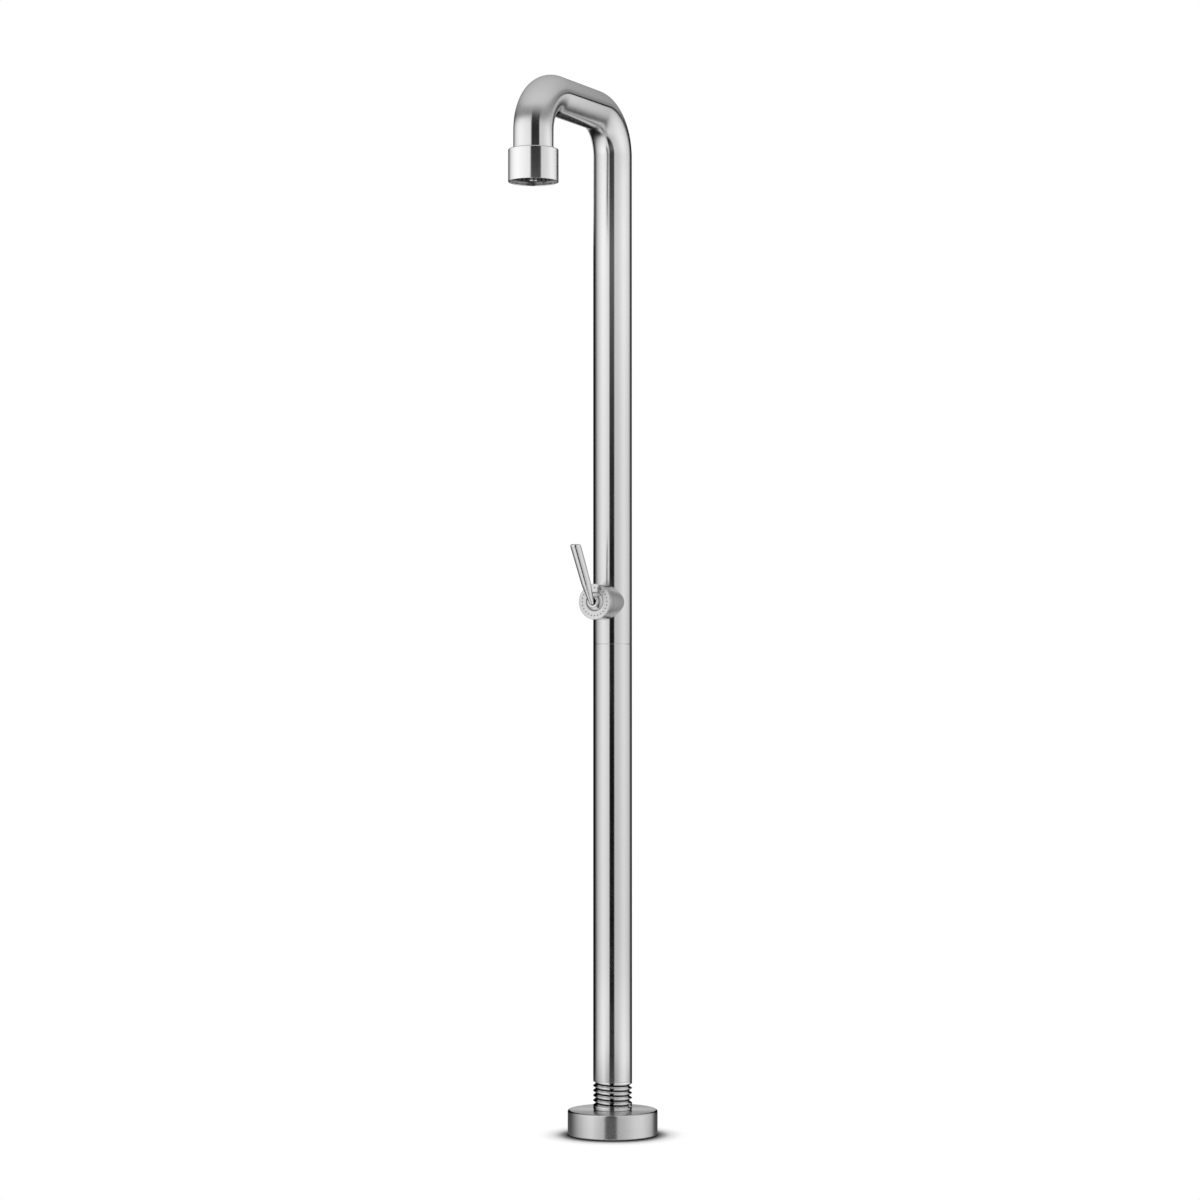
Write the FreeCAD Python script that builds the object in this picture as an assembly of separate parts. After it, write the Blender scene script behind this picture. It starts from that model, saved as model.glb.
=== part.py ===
"""Outdoor shower post: a cane-shaped tube on a round base, with a joystick mixer and a spray head.

Millimetres. The origin is the centre of the underside of the base, +Z is up, and the arm and the
mixer both point along -Y. Distances "out" are measured from the post's axis along -Y.
"""
import FreeCAD
import Part
import math
import os

# Post and arm -------------------------------------------------------------------------------
tube_diameter = 84.0
tube_wall = 2.0
arm_axis_height = 2208.0
bend_radius = 90.0
spout_reach = 352.0
spout_drop = 196.0
tube_end_chamfer = 0.4
joint_below_mixer = 90.0
coupler_wall = 3.0
coupler_length = 80.0

# Base ---------------------------------------------------------------------------------------
base_diameter = 194.0
base_height = 54.0
cover_wall = 4.0
cover_edge_round = 4.0
cover_foot_chamfer = 1.5
gasket_thickness = 2.0
gasket_inset = 2.0
gasket_inner_margin = 7.0
plate_thickness = 25.0
plate_chamfer = 1.0
hub_wall = 14.0
service_hole_margin = 3.0
anchor_circle_radius = 70.0
anchor_hole_radius = 6.0
anchor_count = 4
set_screw_radius = 4.0
set_screw_length = 10.0
set_screw_count = 3

# Threaded neck ------------------------------------------------------------------------------
neck_shoulder_width = 3.0
neck_bore_margin = 1.5
neck_foot_inset = 1.5
neck_foot_height = 1.5
neck_foot_round = 1.0
neck_band_height = 7.95
thread_pitch = 10.5
thread_depth = 6.6
thread_crest_flat = 1.0
thread_turns = 4.6
thread_top_gap = 3.45
thread_start_angle = 27.8
neck_top_spigot_length = 40.0
o_ring_section = 1.15

# Mixer front: each reach is a distance out from the post's axis -------------------------------
mixer_height = 1148.0
boss_diameter = 76.1
boss_wall = 2.3
boss_length = 25.8
tube_port_margin = 4.0
cap_diameter = 77.0
cap_depth = 14.4
cap_joint_gap = 0.8
cap_front_wall = 4.0
cap_edge_round = 1.5
cap_spigot_length = 7.6
cap_spigot_wall = 3.2
dial_dot_count = 24
dial_dot_inset = 8.5
dial_dot_radius = 1.3
pivot_depth = 17.0
dome_radius = 26.0
dome_back_offset = 8.0
seat_wall = 4.0
seat_depth = 7.0
hub_radius = 13.0
hub_stand_out = 10.0
hub_edge_round = 1.5
hub_hollow_radius = 8.5
hub_hollow_depth = 5.0

# Lever --------------------------------------------------------------------------------------
lever_stand_out = 15.0
lever_lean = 31.0
lever_rise = 119.5
lever_tail = 6.0
lever_tail_radius = 5.5
lever_root_length = 45.0
lever_root_radius = 10.3
lever_tip_radius = 11.5
lever_tip_round = 4.0
lever_tail_round = 2.5
stem_radius = 3.5
stem_engagement = 3.0
stem_tail = 7.0
grub_screw_radius = 1.5
grub_screw_length = 2.0
tilt_pin_radius = 2.0

# Mixer body and cartridge -------------------------------------------------------------------
mount_ring_thickness = 6.0
mount_ring_margin = 3.0
body_radius = 26.0
body_back_depth = 24.0
flange_margin = 1.25
flange_thickness = 5.0
mixer_screw_radius = 2.0
mixer_screw_head_radius = 3.2
mixer_screw_head_height = 4.0
mixer_screw_edge = 2.6
mixer_screw_count = 3
cup_depth_behind_pivot = 5.0
cup_wall = 3.0
cartridge_radius = 17.5
cartridge_length = 21.0
cartridge_neck_wall = 2.7
cartridge_neck_length = 5.0
nut_depth = 6.0
nut_lip = 3.4
rotor_radius = 10.5
rotor_floor = 10.0
rotor_front_offset = 3.0
rotor_slot_clearance = 2.0
seal_radius = 4.0
seal_thickness = 2.0
seal_circle_radius = 9.5
waterway_radius = 3.0

# Pipes --------------------------------------------------------------------------------------
pipe_radius = 7.5
pipe_wall = 1.0
supply_offset = 13.0
port_wall = 2.0
port_length = 10.0
port_socket_depth = 8.0
port_channel_radius = 5.0
nut_flats = 24.0
nut_height = 12.0
spacer_thickness = 10.0
supply_spacer_inset = 250.0
riser_spacer_inset = 250.0

# Supply connections under the base ----------------------------------------------------------
inlet_thread_radius = 10.48
inlet_bottom = 4.0
inlet_thread_length = 12.0
inlet_flats = 22.0
inlet_hex_height = 6.0
inlet_collar_wall = 1.65
inlet_collar_height = 5.0
inlet_socket_depth = 8.0
check_valve_radius = 6.0
check_valve_length = 11.0
check_valve_recess = 1.0
check_valve_bore_radius = 3.0

# Spray head ---------------------------------------------------------------------------------
sleeve_diameter = 105.0
sleeve_height = 68.0
sleeve_wall = 3.0
sleeve_top_wall = 5.0
sleeve_top_round = 2.5
sleeve_rim_round = 1.0
face_recess = 8.0
face_thickness = 3.0
mat_thickness = 3.0
nozzle_radius = 2.0
nozzle_bore_radius = 0.6
nozzle_drop = 1.8
nozzle_rings = ((16.0, 8), (26.0, 14), (36.0, 20))
head_body_depth = 14.0
head_body_wall = 4.0
ledge_height = 4.0
ledge_width = 4.0
snap_ring_thickness = 2.0
snap_ring_width = 3.4
snap_ring_depth = 0.9
snap_ring_gap = 9.0
jet_radius = 8.5
jet_shank_radius = 5.0
jet_bore_radius = 2.5
jet_recess = 0.5
jet_edge_round = 2.5
jet_nut_flats = 15.0
jet_nut_height = 4.0
inlet_neck_radius = 10.4
inlet_neck_length = 25.0
inlet_neck_wall = 2.4
regulator_step = 2.0
regulator_depth = 6.6
regulator_thickness = 6.0
regulator_hole_radius = 1.5
regulator_circle_radius = 4.0
regulator_hole_count = 6
plug_thickness = 8.0
plug_boss_wall = 3.5
plug_height_above_ledge = 8.0
plug_socket_depth = 12.0
plug_web = 2.0

# Clearances ---------------------------------------------------------------------------------
fit = 0.05
slide = 0.1
clear = 0.3
seal_clear = 0.1
loose = 0.5

# Sizes that follow from the ones above ------------------------------------------------------
tube_radius = tube_diameter / 2
tube_bore_radius = tube_radius - tube_wall
bend_height = arm_axis_height - bend_radius
tube_joint_height = mixer_height - joint_below_mixer

pipe_fit_radius = pipe_radius + fit
inlet_bore_radius = check_valve_radius + slide
inlet_collar_radius = pipe_fit_radius + inlet_collar_wall
inlet_hex_bottom = inlet_bottom + inlet_thread_length
inlet_collar_bottom = inlet_hex_bottom + inlet_hex_height
inlet_top = inlet_collar_bottom + inlet_collar_height
supply_pipe_bottom = inlet_top - inlet_socket_depth

service_hole_radius = supply_offset + inlet_flats / 2 + service_hole_margin
gasket_hole_radius = service_hole_radius + gasket_inner_margin
neck_spigot_radius = service_hole_radius + neck_shoulder_width
neck_bore_radius = supply_offset + pipe_radius + neck_bore_margin
base_radius = base_diameter / 2
cover_inner_radius = base_radius - cover_wall
cover_top_underside = base_height - cover_wall
cover_hole_radius = neck_spigot_radius + loose
plate_radius = cover_inner_radius - clear
plate_top = gasket_thickness + plate_thickness
hub_bore_radius = neck_spigot_radius + fit
hub_radius_outer = hub_bore_radius + hub_wall
hub_shoulder_height = max(plate_top, inlet_top) + loose

neck_foot_bottom = base_height + clear
neck_foot_radius = tube_radius - neck_foot_inset
neck_band_bottom = neck_foot_bottom + neck_foot_height
neck_thread_bottom = neck_band_bottom + neck_band_height
thread_length = thread_pitch * thread_turns
thread_half_width = (thread_pitch - thread_crest_flat) / 2
tube_bottom = neck_thread_bottom + thread_length + thread_top_gap
neck_inner_radius = tube_bore_radius - slide

boss_radius = boss_diameter / 2
boss_bore_radius = boss_radius - boss_wall
boss_reach = tube_radius + boss_length
cap_radius = cap_diameter / 2
cap_back_reach = boss_reach + cap_joint_gap
cap_reach = cap_back_reach + cap_depth
cap_front_inside = cap_reach - cap_front_wall
seat_back_reach = cap_front_inside - seat_depth
pivot_reach = cap_reach - pivot_depth
seat_radius = dome_radius + clear
seat_outer_radius = dome_radius + seat_wall
dial_dot_circle_radius = cap_radius - dial_dot_inset
dome_back_reach = pivot_reach + dome_back_offset
hub_reach = cap_reach + hub_stand_out
lever_crossing_reach = cap_reach + lever_stand_out
stem_reach = lever_crossing_reach + stem_engagement

tube_port_radius = body_radius + tube_port_margin
mount_ring_reach = tube_radius + loose
mount_ring_hole_radius = body_radius + mount_ring_margin
flange_radius = boss_bore_radius - flange_margin
flange_reach = mount_ring_reach + mount_ring_thickness
flange_front_reach = flange_reach + flange_thickness
mixer_screw_circle_radius = flange_radius - mixer_screw_edge
cup_front_reach = pivot_reach - cup_depth_behind_pivot
cartridge_front_reach = cup_front_reach - nut_depth
cartridge_back_reach = cartridge_front_reach - cartridge_length
nut_radius = cartridge_radius + nut_lip
rotor_back_reach = cartridge_back_reach + rotor_floor
cartridge_bore_radius = rotor_radius + slide
cartridge_neck_radius = cartridge_bore_radius + cartridge_neck_wall

port_radius = pipe_fit_radius + port_wall
port_end = body_radius + port_length
port_shoulder = port_end - port_socket_depth
riser_bottom = mixer_height + port_shoulder

sleeve_bottom_height = arm_axis_height - spout_drop
sleeve_radius = sleeve_diameter / 2
sleeve_bore_radius = sleeve_radius - sleeve_wall
sleeve_top_height = sleeve_bottom_height + sleeve_height
face_bottom = sleeve_bottom_height + face_recess
face_top = face_bottom + face_thickness
mat_top = face_top + mat_thickness
insert_radius = sleeve_bore_radius - clear
head_body_top = mat_top + head_body_depth
ledge_top = head_body_top + ledge_height
plug_bottom = ledge_top + plug_height_above_ledge
plug_bore_radius = inlet_neck_radius + fit
plug_boss_radius = plug_bore_radius + plug_boss_wall
inlet_neck_top = head_body_top + inlet_neck_length
inlet_neck_bore_radius = inlet_neck_radius - inlet_neck_wall
regulator_bore_radius = inlet_neck_bore_radius - regulator_step
regulator_bottom = inlet_neck_top - regulator_depth - regulator_thickness
plug_web_bottom = inlet_neck_top + clear
riser_end = plug_web_bottom + plug_web
plug_top = riser_end + plug_socket_depth

supply_spacer_heights = (tube_bottom + supply_spacer_inset, tube_joint_height - supply_spacer_inset)
riser_spacer_heights = (mixer_height + riser_spacer_inset, bend_height - riser_spacer_inset)

X = FreeCAD.Vector(1, 0, 0)
Y = FreeCAD.Vector(0, 1, 0)
Z = FreeCAD.Vector(0, 0, 1)
ORIGIN = FreeCAD.Vector(0, 0, 0)


def turned(profile):
    """A solid turned about Z from a closed outline of (radius, height) corners."""
    corners = [FreeCAD.Vector(radius, 0, height) for radius, height in profile]
    outline = Part.makePolygon(corners + corners[:1])
    return Part.Face(outline).revolve(ORIGIN, Z, 360)


def ring(inner, outer, bottom, top):
    """A flat-ended ring about Z."""
    return turned([(inner, bottom), (outer, bottom), (outer, top), (inner, top)])


def rod(radius, bottom, top, x=0.0, y=0.0):
    """An upright cylinder."""
    return Part.makeCylinder(radius, top - bottom, FreeCAD.Vector(x, y, bottom), Z)


def hexagon(flats, bottom, top, x=0.0, y=0.0):
    """An upright hexagonal prism with two of its flats facing along X."""
    corner_radius = flats / math.sqrt(3)
    corners = []
    for side in range(7):
        angle = math.radians(30 + 60 * side)
        corners.append(FreeCAD.Vector(x + corner_radius * math.cos(angle),
                                      y + corner_radius * math.sin(angle), bottom))
    return Part.Face(Part.makePolygon(corners)).extrude(Z * (top - bottom))


def rim(shape, radius, height):
    """The circular edges of a turned shape at one radius and height."""
    found = []
    for edge in shape.Edges:
        circle = edge.Curve
        if not isinstance(circle, Part.Circle):
            continue
        same_radius = abs(circle.Radius - radius) < 1e-4
        same_height = abs(circle.Center.z - height) < 1e-4
        if same_radius and same_height:
            found.append(edge)
    return found


def around(shape, count, first_angle=0.0):
    """Copies of a shape, evenly turned about Z."""
    copies = []
    for index in range(count):
        copy = shape.copy()
        copy.rotate(ORIGIN, Z, first_angle + 360.0 * index / count)
        copies.append(copy)
    return copies


def o_ring(middle_radius, height):
    """A round-section sealing ring about Z."""
    return Part.makeTorus(middle_radius, o_ring_section, FreeCAD.Vector(0, 0, height), Z)


def on_mixer_axis(shape):
    """Lays a shape built about Z onto the mixer's axis: its Z becomes the distance out."""
    placed = shape.copy()
    placed.rotate(ORIGIN, X, 90)
    placed.translate(Z * mixer_height)
    return placed


def on_spout(shape):
    """Moves a shape built about Z onto the axis of the spout."""
    placed = shape.copy()
    placed.translate(Y * -spout_reach)
    return placed


# Post and arm -------------------------------------------------------------------------------
def cane_path(bottom, spout_end):
    """Centreline that runs up the post, along the arm and down the spout."""
    quarter = bend_radius * (1 - math.cos(math.pi / 4))
    first_top = FreeCAD.Vector(0, 0, bend_height)
    first_middle = FreeCAD.Vector(0, -quarter, arm_axis_height - quarter)
    arm_start = FreeCAD.Vector(0, -bend_radius, arm_axis_height)
    arm_end = FreeCAD.Vector(0, bend_radius - spout_reach, arm_axis_height)
    second_middle = FreeCAD.Vector(0, quarter - spout_reach, arm_axis_height - quarter)
    spout_top = FreeCAD.Vector(0, -spout_reach, bend_height)
    return Part.Wire([
        Part.LineSegment(FreeCAD.Vector(0, 0, bottom), first_top).toShape(),
        Part.Arc(first_top, first_middle, arm_start).toShape(),
        Part.LineSegment(arm_start, arm_end).toShape(),
        Part.Arc(arm_end, second_middle, spout_top).toShape(),
        Part.LineSegment(spout_top, FreeCAD.Vector(0, -spout_reach, spout_end)).toShape(),
    ])


def cane(radius, bottom, spout_end):
    """A round bar along the cane's centreline."""
    section = Part.Wire(Part.makeCircle(radius, FreeCAD.Vector(0, 0, bottom), Z))
    return cane_path(bottom, spout_end).makePipeShell([section], True, False)


def lower_post_tube():
    """Straight tube from the neck to the joint just below the mixer."""
    tube = ring(tube_bore_radius, tube_radius, tube_bottom, tube_joint_height)
    ends = rim(tube, tube_radius, tube_bottom) + rim(tube, tube_radius, tube_joint_height)
    return tube.makeChamfer(tube_end_chamfer, ends)


def upper_post_tube():
    """Bent tube: upper post, arm and spout, with the port that the mixer passes through."""
    outside = cane(tube_radius, tube_joint_height, plug_bottom)
    inside = cane(tube_bore_radius, tube_joint_height, plug_bottom)
    tube = outside.cut(inside)
    tube = tube.makeChamfer(tube_end_chamfer, rim(tube, tube_radius, tube_joint_height))
    port = on_mixer_axis(rod(tube_port_radius, 0, boss_reach))
    return tube.cut(port)


def post_coupler():
    """Sleeve inside the two tubes that keeps them in line."""
    outer = tube_bore_radius - slide
    half = coupler_length / 2
    return ring(outer - coupler_wall, outer, tube_joint_height - half, tube_joint_height + half)


# Base ---------------------------------------------------------------------------------------
def anchor_holes(bottom, top):
    """Drills for the floor anchors."""
    drill = rod(anchor_hole_radius, bottom, top, anchor_circle_radius)
    return around(drill, anchor_count, 180.0 / anchor_count)


def base_gasket():
    """Rubber ring that the base stands on."""
    disc = ring(gasket_hole_radius, base_radius - gasket_inset, 0, gasket_thickness)
    return disc.cut(anchor_holes(0, gasket_thickness))


def set_screw_height():
    """Height of the screws that lock the neck in the base."""
    return (hub_shoulder_height + cover_top_underside) / 2


def mounting_plate():
    """Heavy floor plate with the socket that takes the neck."""
    plate = turned([
        (service_hole_radius, gasket_thickness),
        (plate_radius - plate_chamfer, gasket_thickness),
        (plate_radius, gasket_thickness + plate_chamfer),
        (plate_radius, plate_top - plate_chamfer),
        (plate_radius - plate_chamfer, plate_top),
        (hub_radius_outer, plate_top),
        (hub_radius_outer, cover_top_underside),
        (hub_bore_radius, cover_top_underside),
        (hub_bore_radius, hub_shoulder_height),
        (service_hole_radius, hub_shoulder_height),
    ])
    screw_hole = Part.makeCylinder(set_screw_radius, hub_radius_outer,
                                   FreeCAD.Vector(0, 0, set_screw_height()), X)
    holes = around(screw_hole, set_screw_count, 90)
    return plate.cut(anchor_holes(gasket_thickness, plate_top) + holes)


def neck_set_screws():
    """Screws that lock the neck in the floor plate."""
    start = FreeCAD.Vector(hub_bore_radius, 0, set_screw_height())
    screw = Part.makeCylinder(set_screw_radius, set_screw_length, start, X)
    return Part.makeCompound(around(screw, set_screw_count, 90))


def base_cover():
    """Round cover over the floor plate, with a soft top edge."""
    cover = turned([
        (cover_inner_radius, gasket_thickness),
        (base_radius, gasket_thickness),
        (base_radius, base_height),
        (cover_hole_radius, base_height),
        (cover_hole_radius, cover_top_underside),
        (cover_inner_radius, cover_top_underside),
    ])
    cover = cover.makeFillet(cover_edge_round, rim(cover, base_radius, base_height))
    return cover.makeChamfer(cover_foot_chamfer, rim(cover, base_radius, gasket_thickness))


# Threaded neck ------------------------------------------------------------------------------
def thread_groove():
    """V-shaped groove wound round the neck."""
    helix = Part.makeHelix(thread_pitch, thread_length, tube_radius, 0, True)
    steepness = thread_half_width / thread_depth
    spread = thread_crest_flat / 4
    reach = thread_half_width + spread
    outside = spread / steepness
    corners = [
        FreeCAD.Vector(tube_radius - thread_depth, 0, 0),
        FreeCAD.Vector(tube_radius + outside, 0, reach),
        FreeCAD.Vector(tube_radius + outside, 0, -reach),
    ]
    section = Part.makePolygon(corners + corners[:1])
    groove = Part.Wire(helix).makePipeShell([section], True, True)
    groove.rotate(ORIGIN, Z, thread_start_angle)
    groove.translate(Z * neck_thread_bottom)
    return groove


def threaded_neck():
    """Neck between base and tube: a spigot, a band with a drawn-in foot, a coarse thread, a spigot."""
    groove_height = tube_bottom + neck_top_spigot_length / 2
    groove_radius = neck_inner_radius - 2 * o_ring_section
    neck = turned([
        (neck_bore_radius, hub_shoulder_height),
        (neck_spigot_radius, hub_shoulder_height),
        (neck_spigot_radius, neck_foot_bottom),
        (neck_foot_radius, neck_foot_bottom),
        (tube_radius, neck_band_bottom),
        (tube_radius, tube_bottom),
        (neck_inner_radius, tube_bottom),
        (neck_inner_radius, groove_height - o_ring_section - seal_clear),
        (groove_radius, groove_height - o_ring_section - seal_clear),
        (groove_radius, groove_height + o_ring_section + seal_clear),
        (neck_inner_radius, groove_height + o_ring_section + seal_clear),
        (neck_inner_radius, tube_bottom + neck_top_spigot_length),
        (neck_bore_radius, tube_bottom + neck_top_spigot_length),
    ])
    neck = neck.makeFillet(neck_foot_round, rim(neck, tube_radius, neck_band_bottom))
    return neck.cut(thread_groove())


def neck_o_ring():
    """Seal between the neck and the lower tube."""
    return o_ring(neck_inner_radius - o_ring_section, tube_bottom + neck_top_spigot_length / 2)


# Mixer body ---------------------------------------------------------------------------------
def mixer_boss():
    """Short tube welded to the post, cut to its curve, that houses the mixer."""
    boss = on_mixer_axis(ring(boss_bore_radius, boss_radius, 0, boss_reach))
    return boss.cut(rod(tube_radius, mixer_height - boss_radius, mixer_height + boss_radius))


def mixer_screw_axes(shape):
    """Copies of a shape at each mixer screw, before they are laid on the mixer's axis."""
    shape.translate(X * mixer_screw_circle_radius)
    return around(shape, mixer_screw_count, 90)


def mixer_mount_ring():
    """Ring welded in the boss that the mixer body is screwed to."""
    plate = ring(mount_ring_hole_radius, boss_bore_radius - fit, mount_ring_reach, flange_reach)
    holes = mixer_screw_axes(rod(mixer_screw_radius + fit, mount_ring_reach, flange_reach))
    return on_mixer_axis(plate.cut(holes))


def mixer_screws():
    """Screws that hold the mixer body on its ring."""
    shank = rod(mixer_screw_radius, mount_ring_reach, flange_front_reach)
    head = rod(mixer_screw_head_radius, flange_front_reach,
               flange_front_reach + mixer_screw_head_height)
    screws = mixer_screw_axes(shank.fuse(head))
    return on_mixer_axis(Part.makeCompound(screws))


def mixer_ports():
    """Solid pipe stubs on the mixer body: two supplies below and the riser above."""
    bottom = mixer_height - port_end
    top = mixer_height + port_end
    return [
        rod(port_radius, bottom, mixer_height, -supply_offset),
        rod(port_radius, bottom, mixer_height, supply_offset),
        rod(port_radius, mixer_height, top),
    ]


def mixer_channels():
    """Waterways and pipe sockets inside the mixer body."""
    bottom = mixer_height - port_end
    top = mixer_height + port_end
    shoulder_low = mixer_height - port_shoulder
    shoulder_high = mixer_height + port_shoulder
    supply_end = mixer_height - seal_circle_radius / 2
    riser_start = mixer_height + seal_circle_radius
    cuts = [
        rod(pipe_fit_radius, shoulder_high, top),
        rod(port_channel_radius, riser_start, shoulder_high),
    ]
    for side in (-supply_offset, supply_offset):
        cuts.append(rod(pipe_fit_radius, bottom, shoulder_low, side))
        cuts.append(rod(port_channel_radius, shoulder_low, supply_end, side))
    for waterway in cartridge_ports(waterway_radius, 0, cartridge_back_reach):
        cuts.append(on_mixer_axis(waterway))
    return cuts


def mixer_body():
    """Brass body that joins the supplies, the cartridge and the riser."""
    bore = cartridge_radius + slide
    cup_radius = nut_radius + cup_wall
    counterbore = nut_radius + fit
    body = turned([
        (0, -body_back_depth),
        (body_radius, -body_back_depth),
        (body_radius, flange_reach),
        (flange_radius, flange_reach),
        (flange_radius, flange_front_reach),
        (cup_radius, flange_front_reach),
        (cup_radius, cup_front_reach),
        (counterbore, cup_front_reach),
        (counterbore, cartridge_front_reach),
        (bore, cartridge_front_reach),
        (bore, cartridge_back_reach),
        (0, cartridge_back_reach),
    ])
    holes = mixer_screw_axes(rod(mixer_screw_radius + fit, flange_reach, flange_front_reach))
    seal_back = cartridge_back_reach - seal_thickness
    pockets = cartridge_ports(seal_radius + slide, seal_back, cartridge_back_reach)
    body = on_mixer_axis(body.cut(holes + pockets))
    return body.fuse(mixer_ports()).cut(mixer_channels())


def cartridge_ports(radius, back, front):
    """One cylinder at each water port of the cartridge: riser above, cold and hot below."""
    return around(rod(radius, back, front, seal_circle_radius), 3, 90)


def cartridge_seals():
    """Rubber seals between the mixer body and the cartridge ports."""
    back = cartridge_back_reach - seal_thickness
    bodies = cartridge_ports(seal_radius, back, cartridge_back_reach)
    bores = cartridge_ports(waterway_radius, back, cartridge_back_reach)
    rings = [body.cut(bore) for body, bore in zip(bodies, bores)]
    return on_mixer_axis(Part.makeCompound(rings))


def cartridge_body():
    """Fixed housing of the mixing cartridge."""
    bore = cartridge_bore_radius
    front = cartridge_front_reach + cartridge_neck_length
    housing = turned([
        (0, cartridge_back_reach),
        (cartridge_radius, cartridge_back_reach),
        (cartridge_radius, cartridge_front_reach),
        (cartridge_neck_radius, cartridge_front_reach),
        (cartridge_neck_radius, front),
        (bore, front),
        (bore, rotor_back_reach),
        (0, rotor_back_reach),
    ])
    return on_mixer_axis(housing)


def cartridge_nut():
    """Threaded ring that holds the cartridge in the mixer body."""
    inner = cartridge_neck_radius + slide
    return on_mixer_axis(ring(inner, nut_radius, cartridge_front_reach, cup_front_reach))


# Mixer controls -----------------------------------------------------------------------------
def cartridge_rotor():
    """Turning fork of the cartridge, slotted for the lever's stem."""
    floor = pivot_reach - stem_tail - rotor_slot_clearance
    front = pivot_reach + rotor_front_offset
    fork = rod(rotor_radius, rotor_back_reach, front)
    width = 2 * (stem_radius + slide)
    slot = Part.makeBox(width, 2 * rotor_radius, front - floor,
                        FreeCAD.Vector(-width / 2, -rotor_radius, floor))
    pin_hole = Part.makeCylinder(tilt_pin_radius + fit, 2 * rotor_radius,
                                 FreeCAD.Vector(-rotor_radius, 0, pivot_reach), X)
    return on_mixer_axis(fork.cut([slot, pin_hole]))


def tilt_pin():
    """Cross pin that the stem tilts on."""
    length = 2 * (rotor_radius - clear)
    pin = Part.makeCylinder(tilt_pin_radius, length,
                            FreeCAD.Vector(-length / 2, 0, pivot_reach), X)
    return on_mixer_axis(pin)


def lever_stem():
    """Stem from the cartridge fork through the hub into the lever."""
    stem = rod(stem_radius, pivot_reach - stem_tail, stem_reach)
    pin_hole = Part.makeCylinder(tilt_pin_radius + slide, 2 * stem_radius,
                                 FreeCAD.Vector(-stem_radius, 0, pivot_reach), X)
    return on_mixer_axis(stem.cut(pin_hole))


def along_lever(shape):
    """Lays a shape built about Z along the lever, with its Z zero where the lever meets the stem."""
    placed = shape.copy()
    placed.rotate(ORIGIN, X, lever_lean)
    placed.translate(FreeCAD.Vector(0, -lever_crossing_reach, mixer_height))
    return placed


def lever_blank():
    """Round bar along the lever, with a conical root, soft ends and its top cut level."""
    uncut_length = (lever_rise + lever_tip_radius) / math.cos(math.radians(lever_lean))
    bar = turned([
        (0, -lever_tail),
        (lever_tail_radius, -lever_tail),
        (lever_root_radius, lever_root_length),
        (lever_tip_radius, uncut_length),
        (0, uncut_length),
    ])
    bar = bar.makeFillet(lever_tail_round, rim(bar, lever_tail_radius, -lever_tail))
    bar = along_lever(bar)
    top = mixer_height + lever_rise
    above = FreeCAD.Vector(-uncut_length, -lever_crossing_reach - 2 * uncut_length, top)
    bar = bar.cut(Part.makeBox(2 * uncut_length, 3 * uncut_length, uncut_length, above))
    top_edges = []
    for edge in bar.Edges:
        if all(abs(vertex.Z - top) < 1e-4 for vertex in edge.Vertexes):
            top_edges.append(edge)
    return bar.makeFillet(lever_tip_round, top_edges)


def grub_screw_rod(length):
    """Rod from the stem's side out to -X, where the screw lies that clamps the lever to the stem."""
    start = FreeCAD.Vector(-stem_radius - fit, -lever_crossing_reach, mixer_height)
    return Part.makeCylinder(grub_screw_radius, length, start, -X)


def lever_handle():
    """The lever that is held by hand."""
    stem_hole = on_mixer_axis(rod(stem_radius + fit, dome_back_reach, stem_reach + clear))
    screw_hole = grub_screw_rod(lever_root_radius)
    return lever_blank().cut([stem_hole, screw_hole])


def lever_grub_screw():
    """Screw in the side of the lever's root that clamps it to the stem."""
    return grub_screw_rod(grub_screw_length)


def lever_hub():
    """Domed hub that closes the opening in the cap; the lever's root stands in its hollow front."""
    back = dome_back_reach
    dome = Part.makeSphere(dome_radius, FreeCAD.Vector(0, 0, pivot_reach))
    dome = dome.common(rod(dome_radius, back, pivot_reach + dome_radius))
    neck = rod(hub_radius, back, hub_reach)
    neck = neck.makeFillet(hub_edge_round, rim(neck, hub_radius, hub_reach))
    hub = on_mixer_axis(dome.fuse(neck))
    stem_hole = on_mixer_axis(rod(stem_radius + fit, back, hub_reach))
    hollow = on_mixer_axis(rod(hub_hollow_radius, hub_reach - hub_hollow_depth, hub_reach))
    return hub.cut([stem_hole, hollow, lever_blank()])


def dome_opening(front, back):
    """Ball-shaped room for the dome between two distances out."""
    ball = Part.makeSphere(seat_radius, FreeCAD.Vector(0, 0, pivot_reach))
    return ball.common(rod(seat_radius, back, front))


def mixer_cap():
    """Round front of the mixer, with a ring of dial dots and an opening for the dome."""
    seat_bore = seat_outer_radius + fit
    spigot_radius = boss_bore_radius - seal_clear
    spigot_back = cap_back_reach - cap_spigot_length
    groove_reach = (spigot_back + cap_back_reach) / 2
    groove_half = o_ring_section + seal_clear
    groove_radius = spigot_radius - 2 * o_ring_section
    bore = spigot_radius - cap_spigot_wall
    cap = turned([
        (0, cap_front_inside),
        (seat_bore, cap_front_inside),
        (seat_bore, seat_back_reach),
        (bore, seat_back_reach),
        (bore, spigot_back),
        (spigot_radius, spigot_back),
        (spigot_radius, groove_reach - groove_half),
        (groove_radius, groove_reach - groove_half),
        (groove_radius, groove_reach + groove_half),
        (spigot_radius, groove_reach + groove_half),
        (spigot_radius, cap_back_reach),
        (cap_radius, cap_back_reach),
        (cap_radius, cap_reach),
        (0, cap_reach),
    ])
    cap = cap.makeFillet(cap_edge_round, rim(cap, cap_radius, cap_reach))
    dot = Part.makeSphere(dial_dot_radius, FreeCAD.Vector(dial_dot_circle_radius, 0, cap_reach))
    dots = around(dot, dial_dot_count)
    opening = dome_opening(cap_reach, cap_front_inside)
    return on_mixer_axis(cap.cut(dots + [opening]))


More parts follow.
